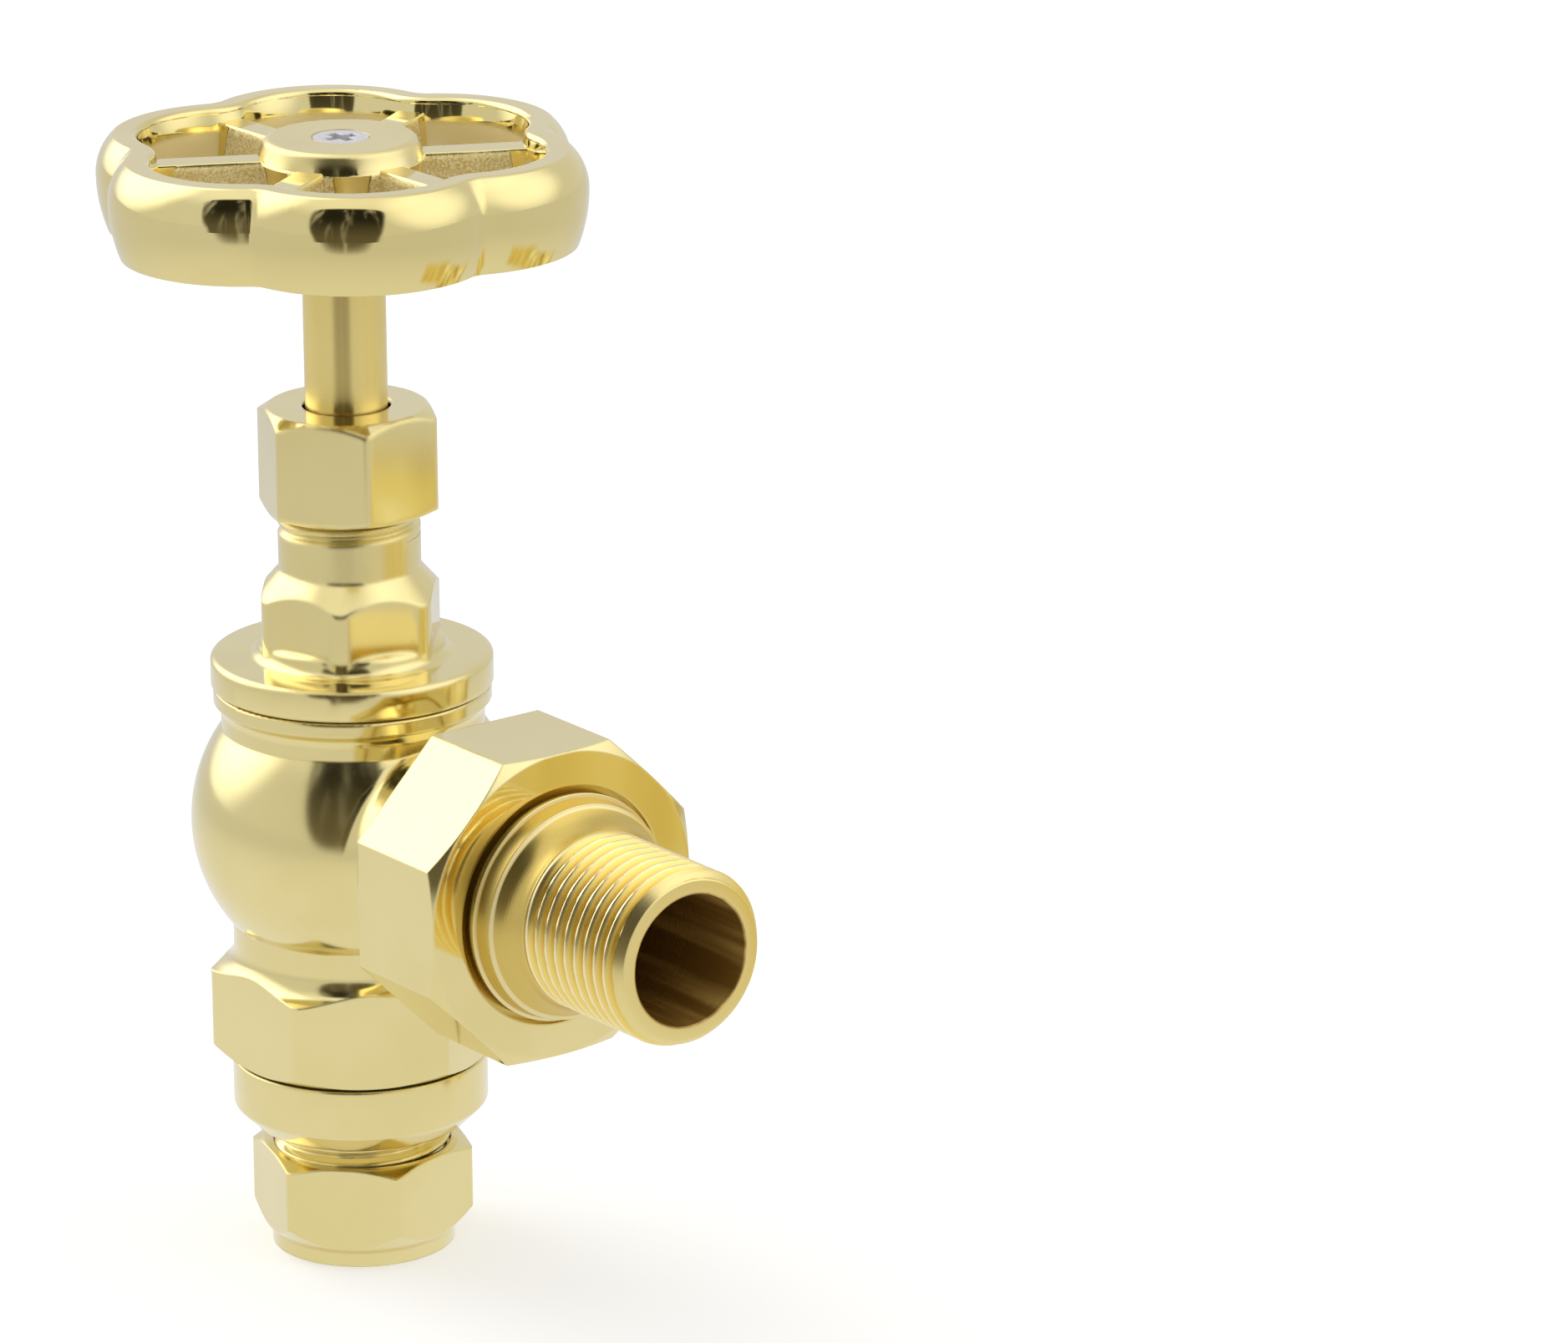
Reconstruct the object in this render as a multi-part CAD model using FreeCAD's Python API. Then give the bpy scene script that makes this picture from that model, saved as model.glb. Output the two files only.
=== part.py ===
import FreeCAD, Part
import math
import os
from FreeCAD import Vector

# Manual angle radiator valve in brass, with a six-lobed handwheel on a rising spindle.
# Millimetres. Z runs up the spindle, X runs out along the radiator tail.
# The origin is the centre of the pipe inlet's mouth, in the face that the valve stands on.

# Fits shared by all pieces
thread_clearance = 0.05
slide_clearance = 0.08
face_clearance = 0.05
seat_clearance = 0.3
edge_round = 0.3
thread_start_chamfer = 0.5

# Pipe inlet: compression nut, olive and adaptor
pipe_bore_radius = 7.65
comp_nut_wall = 1.07
comp_nut_height = 12.4
comp_nut_turn = 43.7
comp_nut_skirt_wall = 3.2
comp_nut_skirt_height = 1.6
comp_nut_corner_rise = 2.9
comp_nut_top_drop = 0.9
comp_nut_edge_round = 1.0
olive_length = 5.6
olive_wall = 1.2
olive_end_wall = 0.4
olive_rise = 1.1
olive_mouth_gap = 0.2
inlet_wall = 2.83
inlet_thread_show = 2.9
inlet_mouth_wall = 0.85
inlet_mouth_depth = 4.0
pipe_socket_depth = 9.6
adaptor_shoulder = 2.65
adaptor_collar_height = 8.2
adaptor_collar_chamfer = 2.4
adaptor_socket_wall = 2.85
adaptor_spigot_length = 9.0
adaptor_bore_radius = 6.9
adaptor_seal_thickness = 0.4
adaptor_seal_inset = 0.6

# Valve body
body_hex_flats = 30.5
body_hex_foot_rise = 1.4
body_hex_edge_round = 1.6
body_waist_step = 0.65
body_waist_length = 2.9
bulb_radius = 19.2
bulb_rise = 28.85
bulb_wall = 3.4
body_neck_length = 1.68
body_neck_wall = 2.55
body_rim_overhang = 0.85
body_top_rise = 16.35
body_rim_height = 1.7
body_rim_cove = 1.5
seat_bore_radius = 6.5
seat_lip_width = 2.0
seat_lip_height = 2.5
outlet_bore_radius = 9.3
outlet_neck_wall = 2.2
outlet_fillet = 2.5
outlet_shoulder_length = 4.0
outlet_thread_inset = 0.6

# Radiator union: nut, seal and tailpiece
union_thread_radius = 15.8
union_nut_wall = 2.2
union_nut_sides = 8
union_nut_length = 14.55
union_nut_lip = 1.7
union_lip_overlap = 1.35
union_nut_front_drop = 0.9
union_nut_front = 41.0
tail_seal_thickness = 1.0
tail_shoulder_thickness = 3.0
tail_shoulder_gap = 0.4
tail_collar_gap = 0.65
tail_collar_show = 1.2
tail_step_depth = 1.1
tail_step_length = 2.1
tail_flare_length = 3.8
tail_thread_radius = 10.4
tail_thread_length = 15.8
tail_end_chamfer = 1.1
tail_wall = 2.77
tail_mouth_depth = 1.5

# Bonnet, packing and gland
bonnet_gasket_thickness = 0.2
bonnet_gasket_inset = 0.4
bonnet_spigot_length = 7.6
bonnet_flange_overhang = 0.25
bonnet_flange_thickness = 3.6
bonnet_flange_round = 0.6
bonnet_hex_step = 1.6
bonnet_hex_height = 10.5
bonnet_hex_turn = 18.2
bonnet_hex_edge_round = 2.6
bonnet_ring_step = 0.9
bonnet_ring_cove = 1.3
bonnet_ring_round = 0.85
bonnet_hex_top_drop = 3.6
bonnet_neck_wall = 1.65
bonnet_neck_show = 7.0
bonnet_neck_engaged = 5.8
stuffing_box_depth = 10.2
gland_washer_thickness = 0.9
packing_ring_count = 3
packing_ring_height = 2.0
packing_width = 1.85
packing_clearance = 0.04
follower_flange_step = 0.5
follower_flange_gap = 0.6
gland_nut_wall = 1.15
gland_nut_height = 12.3
gland_nut_turn = 37.5
gland_nut_lid = 3.7
gland_nut_hole_gap = 0.38
gland_nut_top_drop = 1.2
gland_nut_face_inset = 0.3
gland_nut_foot_rise = 0.5
gland_nut_edge_round = 0.8

# Spindle and the parts that close the seat
spindle_radius = 4.8
spindle_show = 19.2
spindle_thread_step = 0.75
spindle_thread_length = 20.0
spindle_foot_step = 0.2
spindle_foot_length = 3.6
spindle_lift = 3.0
bonnet_shoulder = 3.5
spindle_square_cut = 3.2
spindle_square_length = 8.4
jumper_stem_radius = 2.5
jumper_stem_length = 8.2
jumper_groove_radius = 1.7
jumper_groove_length = 2.2
jumper_disc_overlap = 1.9
jumper_disc_thickness = 3.3
jumper_stud_radius = 1.9
jumper_pin_radius = 0.75
seat_washer_thickness = 3.2
seat_washer_rim = 0.4
washer_plate_radius = 4.5
washer_plate_thickness = 0.7
washer_nut_flats = 6.0
washer_nut_height = 2.2

# Handwheel and its screw
wheel_turn = 2.5
wheel_lobes = 6
wheel_height = 12.6
wheel_valley_reach = 22.65
wheel_lobe_rise = 3.1
wheel_valley_crease = 1.5
rim_below_hub = 0.4
rim_height = 11.4
rim_lip_width = 2.8
rim_outer_bulge = 3.5
rim_inner_bulge = 2.0
rim_bulge_drop = 4.6
rim_foot_outer = 2.3
rim_foot_inner = 1.2
rim_foot_round = 0.35
rim_edge_round = 0.7
spoke_top_width = 3.4
spoke_foot_width = 4.8
spoke_below_hub = 2.0
spoke_depth = 7.6
hub_top_radius = 8.75
hub_side_radius = 9.7
hub_shoulder_drop = 2.4
hub_edge_round = 0.9
hub_flute_radius = 3.3
hub_flute_depth = 1.2
screw_head_radius = 3.3
screw_shank_radius = 1.7
screw_length = 12.0
screw_recess_width = 1.3
screw_recess_span = 4.0
screw_recess_depth = 1.5

# Radii that follow, each from the piece it fits
inlet_thread_radius = pipe_bore_radius + inlet_wall
comp_nut_flats = 2 * (inlet_thread_radius + thread_clearance + comp_nut_wall)
comp_nut_skirt_radius = pipe_bore_radius + comp_nut_skirt_wall
adaptor_spigot_radius = body_hex_flats / 2 - adaptor_socket_wall
adaptor_collar_radius = adaptor_spigot_radius + adaptor_shoulder
body_waist_radius = body_hex_flats / 2 - body_waist_step
body_neck_rise = body_top_rise - body_rim_height - body_rim_cove - body_neck_length
body_neck_radius = math.sqrt(bulb_radius ** 2 - body_neck_rise ** 2)
body_rim_radius = body_neck_radius + body_rim_overhang
bonnet_spigot_radius = body_neck_radius - body_neck_wall - thread_clearance
bonnet_flange_radius = body_rim_radius + bonnet_flange_overhang
union_nut_flats = 2 * (union_thread_radius + thread_clearance + union_nut_wall)
tail_shoulder_radius = union_thread_radius - tail_shoulder_gap
union_nut_hole_radius = tail_shoulder_radius - union_lip_overlap
tail_collar_radius = union_nut_hole_radius - tail_collar_gap
tail_step_radius = tail_collar_radius - tail_step_depth
tail_bore_radius = tail_thread_radius - tail_wall
stuffing_box_radius = spindle_radius + packing_width
bonnet_neck_radius = stuffing_box_radius + bonnet_neck_wall
bonnet_hex_flats = 2 * (bonnet_neck_radius + bonnet_hex_step)
bonnet_ring_radius = bonnet_hex_flats / 2 + bonnet_ring_step
follower_flange_radius = bonnet_neck_radius - follower_flange_step
gland_nut_flats = 2 * (bonnet_neck_radius + thread_clearance + gland_nut_wall)
spindle_thread_radius = spindle_radius + spindle_thread_step
spindle_foot_radius = spindle_radius + spindle_foot_step
spindle_square = 2 * spindle_radius - spindle_square_cut
jumper_disc_radius = seat_bore_radius + jumper_disc_overlap
wheel_lobe_reach = wheel_valley_reach + wheel_lobe_rise

# Heights up the spindle axis, from the mouth of the pipe inlet
collar_foot_z = comp_nut_height + inlet_thread_show
collar_top_z = collar_foot_z + adaptor_collar_height
body_foot_z = collar_top_z + adaptor_seal_thickness
bulb_z = body_foot_z + bulb_rise
body_waist_z = bulb_z - math.sqrt(bulb_radius ** 2 - body_waist_radius ** 2)
body_hex_top_z = body_waist_z - body_waist_length
body_neck_z = bulb_z + body_neck_rise
body_cove_z = body_neck_z + body_neck_length
body_rim_z = body_cove_z + body_rim_cove
body_top_z = body_rim_z + body_rim_height
flange_foot_z = body_top_z + bonnet_gasket_thickness
flange_top_z = flange_foot_z + bonnet_flange_thickness
bonnet_foot_z = body_top_z - bonnet_spigot_length
bonnet_hex_top_z = flange_top_z + bonnet_hex_height
gland_nut_foot_z = bonnet_hex_top_z + bonnet_neck_show
bonnet_top_z = gland_nut_foot_z + bonnet_neck_engaged
stuffing_floor_z = bonnet_top_z - stuffing_box_depth
packing_foot_z = stuffing_floor_z + gland_washer_thickness
packing_top_z = packing_foot_z + packing_ring_count * packing_ring_height
gland_nut_top_z = gland_nut_foot_z + gland_nut_height
gland_lid_foot_z = gland_nut_top_z - gland_nut_lid
wheel_foot_z = gland_nut_top_z + spindle_show
hub_top_z = wheel_foot_z + wheel_height
rim_top_z = hub_top_z - rim_below_hub
spoke_top_z = hub_top_z - spoke_below_hub

# The spindle hangs from its thread, and the seat lies one lift below the washer
thread_bore_top_z = stuffing_floor_z - bonnet_shoulder
spindle_thread_top_z = thread_bore_top_z - spindle_lift - seat_clearance
spindle_thread_foot_z = spindle_thread_top_z - spindle_thread_length
spindle_foot_z = spindle_thread_foot_z - spindle_foot_length
square_top_z = wheel_foot_z + spindle_square_length
jumper_top_z = spindle_foot_z - face_clearance
jumper_foot_z = jumper_top_z - jumper_disc_thickness
washer_foot_z = jumper_foot_z - seat_washer_thickness
plate_foot_z = washer_foot_z - washer_plate_thickness
washer_nut_foot_z = plate_foot_z - washer_nut_height
seat_z = washer_foot_z - spindle_lift - face_clearance

# The olive lies between the nut's cone and the mouth of the adaptor
olive_outer_radius = pipe_bore_radius + olive_wall
olive_end_radius = pipe_bore_radius + olive_end_wall
olive_foot_z = comp_nut_skirt_height + olive_rise
olive_top_z = olive_foot_z + olive_length
olive_middle_z = (olive_foot_z + olive_top_z) / 2
inlet_mouth_radius = inlet_thread_radius - inlet_mouth_wall
inlet_mouth_z = olive_middle_z + olive_mouth_gap
pipe_stop_z = inlet_mouth_z + inlet_mouth_depth + pipe_socket_depth

# Distances out along the tail, from the spindle axis
union_nut_back = union_nut_front - union_nut_length
union_lip_back = union_nut_front - union_nut_lip
shoulder_front = union_lip_back - face_clearance
shoulder_back = shoulder_front - tail_shoulder_thickness
outlet_face = shoulder_back - tail_seal_thickness - face_clearance
collar_front = union_nut_front + tail_collar_show
step_front = collar_front + tail_step_length
thread_start = step_front + tail_flare_length
chamfer_start = thread_start + tail_thread_length
tail_end = chamfer_start + tail_end_chamfer

# Small shape tools


def corner_arc(before, corner, after, radius):
    """Two tangent points and the middle of the arc that rounds a corner."""
    back = (before - corner).normalize()
    on = (after - corner).normalize()
    half = back.getAngle(on) / 2
    reach = radius / math.tan(half)
    bisector = (back + on).normalize()
    centre = corner + bisector * (radius / math.sin(half))
    return corner + back * reach, centre - bisector * radius, corner + on * reach


def face_of(corners):
    """Face in the XZ plane. A corner is (x, z), (x, z, rounding) or (x, z, "through") for an arc's middle."""
    places = [Vector(corner[0], 0, corner[1]) for corner in corners]
    steps = []
    for index, corner in enumerate(corners):
        if len(corner) == 2:
            steps.append(("to", places[index]))
        elif corner[2] == "through":
            steps.append(("through", places[index]))
        else:
            after = places[(index + 1) % len(places)]
            entry, middle, leave = corner_arc(places[index - 1], places[index], after, corner[2])
            steps.extend([("to", entry), ("through", middle), ("to", leave)])
    start = steps[0][1]
    here = start
    middle = None
    edges = []
    for kind, place in steps[1:] + [("to", start)]:
        if kind == "through":
            middle = place
        elif middle is not None:
            edges.append(Part.Arc(here, middle, place).toShape())
            here = place
            middle = None
        elif here.distanceToPoint(place) > 1e-7:
            edges.append(Part.LineSegment(here, place).toShape())
            here = place
    return Part.Face(Part.Wire(edges))


def turned(corners, angle=360):
    """Solid of revolution about Z from a (radius, height) outline."""
    return face_of(corners).revolve(Vector(0, 0, 0), Vector(0, 0, 1), angle)


def rod(radius, foot, top):
    """Plain round bar on the Z axis."""
    return Part.makeCylinder(radius, top - foot, Vector(0, 0, foot))


def ring(inner, outer, foot, top):
    """Plain round tube on the Z axis."""
    return turned([(inner, foot), (outer, foot), (outer, top), (inner, top)])


def corner_reach(sides, flats):
    """Distance from the axis to the corners of a regular bar."""
    return flats / 2 / math.cos(math.pi / sides)


def prism(sides, flats, foot, top, turn=0, edge=0):
    """Regular bar on the Z axis with a corner at the turn angle and its long edges rounded."""
    reach = corner_reach(sides, flats)
    corners = []
    for index in range(sides):
        angle = math.radians(turn) + 2 * math.pi * index / sides
        corners.append(Vector(reach * math.cos(angle), reach * math.sin(angle), foot))
    if edge == 0:
        outline = Part.makePolygon(corners + corners[:1])
    else:
        bends = []
        for index in range(sides):
            bends.append(corner_arc(corners[index - 1], corners[index], corners[(index + 1) % sides], edge))
        edges = []
        for index, (entry, middle, leave) in enumerate(bends):
            edges.append(Part.Arc(entry, middle, leave).toShape())
            edges.append(Part.LineSegment(leave, bends[(index + 1) % sides][0]).toShape())
        outline = Part.Wire(edges)
    return Part.Face(outline).extrude(Vector(0, 0, top - foot))


def nut_blank(sides, flats, foot, top, turn, foot_radius, foot_rise, top_radius, top_drop, edge=0):
    """Nut bar with its corners turned off by a cone at each end."""
    corner_radius = corner_reach(sides, flats)
    envelope = turned([
        (0, foot),
        (foot_radius, foot),
        (corner_radius, foot + foot_rise),
        (corner_radius, top - top_drop),
        (top_radius, top),
        (0, top),
    ])
    return prism(sides, flats, foot, top, turn, edge).common(envelope)


def onto_tail(shape):
    """Turn a piece made on the Z axis so that it lies along the tail, at the bulb's height."""
    placed = shape.copy()
    placed.rotate(Vector(0, 0, 0), Vector(0, 1, 0), 90)
    placed.translate(Vector(0, 0, bulb_z))
    return placed


def around_wheel(shape, count, first_angle=0):
    """Evenly spaced copies of a shape about the spindle axis."""
    copies = []
    for index in range(count):
        copy = shape.copy()
        copy.rotate(Vector(0, 0, 0), Vector(0, 0, 1), first_angle + 360 * index / count)
        copies.append(copy)
    return copies


# Pipe inlet


def compression_nut():
    bore_radius = inlet_thread_radius + thread_clearance
    shelf_z = inlet_mouth_z - seat_clearance
    blank = nut_blank(6, comp_nut_flats, comp_nut_skirt_height, comp_nut_height, comp_nut_turn,
                      comp_nut_skirt_radius, comp_nut_corner_rise,
                      comp_nut_flats / 2, comp_nut_top_drop, comp_nut_edge_round)
    skirt = rod(comp_nut_skirt_radius, 0, comp_nut_skirt_height)
    inside = turned([
        (0, -1),
        (pipe_bore_radius, -1),
        (pipe_bore_radius, comp_nut_skirt_height),
        (inlet_mouth_radius, shelf_z),
        (bore_radius, shelf_z),
        (bore_radius, comp_nut_height + 1),
        (0, comp_nut_height + 1),
    ])
    return blank.fuse(skirt).cut(inside)


def olive():
    return turned([
        (pipe_bore_radius, olive_foot_z),
        (olive_end_radius, olive_foot_z),
        (olive_outer_radius, olive_middle_z, olive_wall),
        (olive_end_radius, olive_top_z),
        (pipe_bore_radius, olive_top_z),
    ])


def inlet_adaptor():
    spigot_top_z = body_foot_z + adaptor_spigot_length
    return turned([
        (inlet_mouth_radius, inlet_mouth_z),
        (inlet_thread_radius - thread_start_chamfer, inlet_mouth_z),
        (inlet_thread_radius, inlet_mouth_z + thread_start_chamfer),
        (inlet_thread_radius, collar_foot_z),
        (adaptor_collar_radius - adaptor_collar_chamfer, collar_foot_z),
        (adaptor_collar_radius, collar_foot_z + adaptor_collar_chamfer, edge_round),
        (adaptor_collar_radius, collar_top_z, edge_round),
        (adaptor_spigot_radius, collar_top_z),
        (adaptor_spigot_radius, spigot_top_z),
        (adaptor_bore_radius, spigot_top_z),
        (adaptor_bore_radius, pipe_stop_z),
        (pipe_bore_radius, pipe_stop_z),
        (pipe_bore_radius, inlet_mouth_z + inlet_mouth_depth),
    ])


def adaptor_seal():
    inner = adaptor_spigot_radius + thread_clearance
    return ring(inner, adaptor_collar_radius - adaptor_seal_inset, collar_top_z, body_foot_z)


# Radiator union, made on the Z axis and then laid along the tail


def union_nut():
    blank = nut_blank(union_nut_sides, union_nut_flats, union_nut_back, union_nut_front,
                      180 / union_nut_sides, corner_reach(union_nut_sides, union_nut_flats), 0,
                      union_nut_flats / 2, union_nut_front_drop)
    inside = turned([
        (0, union_nut_back - 1),
        (union_thread_radius + thread_clearance, union_nut_back - 1),
        (union_thread_radius + thread_clearance, union_lip_back),
        (union_nut_hole_radius, union_lip_back),
        (union_nut_hole_radius, union_nut_front + 1),
        (0, union_nut_front + 1),
    ])
    return onto_tail(blank.cut(inside))


def tail_seal():
    outer = tail_shoulder_radius - seat_clearance
    return onto_tail(ring(outlet_bore_radius, outer, shoulder_back - tail_seal_thickness, shoulder_back))


def tailpiece():
    flare_middle_radius = (tail_step_radius + 2 * tail_thread_radius) / 3
    flare_middle = (3 * step_front + 2 * thread_start) / 5
    return onto_tail(turned([
        (tail_bore_radius, shoulder_back + tail_mouth_depth),
        (outlet_bore_radius, shoulder_back),
        (tail_shoulder_radius, shoulder_back),
        (tail_shoulder_radius, shoulder_front),
        (tail_collar_radius, shoulder_front),
        (tail_collar_radius, collar_front, edge_round),
        (tail_step_radius, step_front),
        (flare_middle_radius, flare_middle, "through"),
        (tail_thread_radius, thread_start),
        (tail_thread_radius, chamfer_start),
        (tail_thread_radius - tail_end_chamfer, tail_end, edge_round),
        (tail_bore_radius, tail_end, edge_round),
    ]))


# Valve body


def body_hexagon():
    """Hexagon with its corners turned off at the foot and a hollow cove up to the waist."""
    corner_radius = corner_reach(6, body_hex_flats)
    cove = corner_radius - body_waist_radius
    cove_dip = cove * math.sqrt(0.5)
    envelope = turned([
        (0, body_foot_z),
        (body_hex_flats / 2, body_foot_z),
        (corner_radius, body_foot_z + body_hex_foot_rise),
        (corner_radius, body_hex_top_z - cove),
        (corner_radius - cove_dip, body_hex_top_z - cove_dip, "through"),
        (body_waist_radius, body_hex_top_z),
        (0, body_hex_top_z),
    ])
    return prism(6, body_hex_flats, body_foot_z, body_hex_top_z, 0, body_hex_edge_round).common(envelope)


def body_barrel():
    """Bulb with the waist below it and the coved rim above it."""
    cove_radius = (body_rim_radius + 3 * body_neck_radius) / 4
    return turned([
        (0, body_hex_top_z),
        (body_waist_radius, body_hex_top_z),
        (body_waist_radius, body_waist_z),
        (bulb_radius, bulb_z, "through"),
        (body_neck_radius, body_neck_z),
        (body_neck_radius, body_cove_z),
        (cove_radius, body_cove_z + body_rim_cove / 2, "through"),
        (body_rim_radius, body_rim_z),
        (body_rim_radius, body_top_z, edge_round),
        (0, body_top_z),
    ])


def body_outlet():
    """Neck that leaves the bulb through a hollow fillet and widens to the union thread inside the nut."""
    neck_radius = outlet_bore_radius + outlet_neck_wall
    thread_back = union_nut_back + outlet_thread_inset
    fillet_height = neck_radius + outlet_fillet
    fillet_reach = bulb_radius + outlet_fillet
    fillet_centre = math.sqrt(fillet_reach ** 2 - fillet_height ** 2)
    share = bulb_radius / fillet_reach
    middle_angle = (math.atan2(fillet_height, fillet_centre) + math.pi / 2) / 2
    return onto_tail(turned([
        (0, 0),
        (fillet_height * share, 0),
        (fillet_height * share, fillet_centre * share),
        (fillet_height - outlet_fillet * math.sin(middle_angle),
         fillet_centre - outlet_fillet * math.cos(middle_angle), "through"),
        (neck_radius, fillet_centre),
        (neck_radius, thread_back - outlet_shoulder_length),
        (union_thread_radius, thread_back),
        (union_thread_radius, outlet_face - thread_start_chamfer),
        (union_thread_radius - thread_start_chamfer, outlet_face),
        (0, outlet_face),
    ]))


def valve_body():
    outside = body_hexagon().fuse([body_barrel(), body_outlet()])
    floor_z = seat_z - seat_lip_height
    lip_radius = seat_bore_radius + seat_lip_width
    spigot_hole_top = body_foot_z + adaptor_spigot_length + seat_clearance
    bonnet_hole_foot = bonnet_foot_z - seat_clearance
    chamber = Part.makeSphere(bulb_radius - bulb_wall, Vector(0, 0, bulb_z))
    chamber = chamber.common(rod(bulb_radius, floor_z, body_top_z))
    hollows = [
        chamber.cut(rod(lip_radius, floor_z - 1, seat_z)),
        rod(adaptor_spigot_radius + thread_clearance, body_foot_z - 1, spigot_hole_top),
        rod(seat_bore_radius, body_foot_z, seat_z + 1),
        rod(bonnet_spigot_radius + thread_clearance, bonnet_hole_foot, body_top_z + 1),
        onto_tail(rod(outlet_bore_radius, lip_radius + 1, outlet_face + 1)),
    ]
    return outside.cut(hollows).removeSplitter()


# Bonnet, packing and gland


def bonnet():
    hexagon = nut_blank(6, bonnet_hex_flats, flange_top_z - 1, bonnet_hex_top_z, bonnet_hex_turn,
                        corner_reach(6, bonnet_hex_flats), 0,
                        bonnet_neck_radius, bonnet_hex_top_drop, bonnet_hex_edge_round)
    cove_dip = bonnet_ring_cove * (1 - math.sqrt(0.5))
    ring_top_z = flange_top_z + bonnet_ring_cove + bonnet_ring_round
    flange = turned([
        (0, bonnet_foot_z),
        (bonnet_spigot_radius, bonnet_foot_z),
        (bonnet_spigot_radius, flange_foot_z),
        (bonnet_flange_radius, flange_foot_z, edge_round),
        (bonnet_flange_radius, flange_top_z, bonnet_flange_round),
        (bonnet_ring_radius + bonnet_ring_cove, flange_top_z),
        (bonnet_ring_radius + cove_dip, flange_top_z + cove_dip, "through"),
        (bonnet_ring_radius, flange_top_z + bonnet_ring_cove),
        (bonnet_ring_radius, ring_top_z, bonnet_ring_round),
        (0, ring_top_z),
    ])
    neck = turned([
        (0, bonnet_hex_top_z - 1),
        (bonnet_neck_radius, bonnet_hex_top_z - 1),
        (bonnet_neck_radius, bonnet_top_z - thread_start_chamfer),
        (bonnet_neck_radius - thread_start_chamfer, bonnet_top_z),
        (0, bonnet_top_z),
    ])
    hollows = [
        rod(spindle_thread_radius + thread_clearance, bonnet_foot_z - 1, thread_bore_top_z),
        rod(spindle_radius + slide_clearance, bonnet_foot_z, bonnet_top_z),
        rod(stuffing_box_radius, stuffing_floor_z, bonnet_top_z + 1),
    ]
    return flange.fuse([hexagon, neck]).cut(hollows).removeSplitter()


def bonnet_gasket():
    inner = bonnet_spigot_radius + thread_clearance
    return ring(inner, body_rim_radius - bonnet_gasket_inset, body_top_z, flange_foot_z)


def gland_washer():
    outer = stuffing_box_radius - thread_clearance
    return ring(spindle_radius + slide_clearance, outer, stuffing_floor_z, packing_foot_z)


def packing_ring(index):
    foot_z = packing_foot_z + index * packing_ring_height
    outer = stuffing_box_radius - thread_clearance
    return ring(spindle_radius + packing_clearance, outer, foot_z, foot_z + packing_ring_height)


def gland_follower():
    inner = spindle_radius + slide_clearance
    sleeve = stuffing_box_radius - slide_clearance
    flange_z = bonnet_top_z + follower_flange_gap
    return turned([
        (inner, packing_top_z + face_clearance),
        (sleeve, packing_top_z + face_clearance),
        (sleeve, flange_z),
        (follower_flange_radius, flange_z),
        (follower_flange_radius, gland_lid_foot_z - face_clearance),
        (inner, gland_lid_foot_z - face_clearance),
    ])


def gland_nut():
    blank = nut_blank(6, gland_nut_flats, gland_nut_foot_z, gland_nut_top_z, gland_nut_turn,
                      gland_nut_flats / 2, gland_nut_foot_rise,
                      gland_nut_flats / 2 - gland_nut_face_inset, gland_nut_top_drop, gland_nut_edge_round)
    hollows = [
        rod(bonnet_neck_radius + thread_clearance, gland_nut_foot_z - 1, gland_lid_foot_z),
        rod(spindle_radius + gland_nut_hole_gap, gland_nut_foot_z, gland_nut_top_z + 1),
    ]
    return blank.cut(hollows)


# Spindle and the parts that close the seat

groove_middle_z = spindle_foot_z + spindle_foot_length / 2
jumper_pin_x = jumper_groove_radius + seat_clearance + jumper_pin_radius


def pin_bar(radius, half_length):
    """Round bar across the spindle's foot, beside the jumper's stem."""
    start = Vector(jumper_pin_x, -half_length, groove_middle_z)
    return Part.makeCylinder(radius, 2 * half_length, start, Vector(0, 1, 0))


def spindle():
    shank = turned([
        (0, spindle_foot_z),
        (spindle_foot_radius - thread_start_chamfer, spindle_foot_z),
        (spindle_foot_radius, spindle_foot_z + thread_start_chamfer),
        (spindle_foot_radius, spindle_thread_foot_z),
        (spindle_thread_radius, spindle_thread_foot_z),
        (spindle_thread_radius, spindle_thread_top_z - thread_start_chamfer),
        (spindle_radius, spindle_thread_top_z),
        (spindle_radius, wheel_foot_z, edge_round),
        (0, wheel_foot_z),
    ])
    square = prism(4, spindle_square, wheel_foot_z - 1, square_top_z, wheel_turn + 180 / 4)
    stem_bore_top = jumper_top_z + jumper_stem_length + seat_clearance
    screw_hole_foot = hub_top_z - screw_length - 1
    hollows = [
        rod(jumper_stem_radius + slide_clearance, spindle_foot_z - 1, stem_bore_top),
        rod(screw_shank_radius + thread_clearance, screw_hole_foot, square_top_z + 1),
        pin_bar(jumper_pin_radius + thread_clearance, spindle_foot_radius),
    ]
    return shank.fuse(square).cut(hollows)


def jumper_pin():
    reach = jumper_pin_x + jumper_pin_radius
    return pin_bar(jumper_pin_radius, math.sqrt(spindle_foot_radius ** 2 - reach ** 2))


def jumper():
    stem_top_z = jumper_top_z + jumper_stem_length
    groove_foot_z = groove_middle_z - jumper_groove_length / 2
    groove_top_z = groove_middle_z + jumper_groove_length / 2
    return turned([
        (0, washer_nut_foot_z),
        (jumper_stud_radius, washer_nut_foot_z),
        (jumper_stud_radius, jumper_foot_z),
        (jumper_disc_radius, jumper_foot_z),
        (jumper_disc_radius, jumper_top_z, edge_round),
        (jumper_stem_radius, jumper_top_z),
        (jumper_stem_radius, groove_foot_z),
        (jumper_groove_radius, groove_foot_z),
        (jumper_groove_radius, groove_top_z),
        (jumper_stem_radius, groove_top_z),
        (jumper_stem_radius, stem_top_z),
        (0, stem_top_z),
    ])


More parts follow.
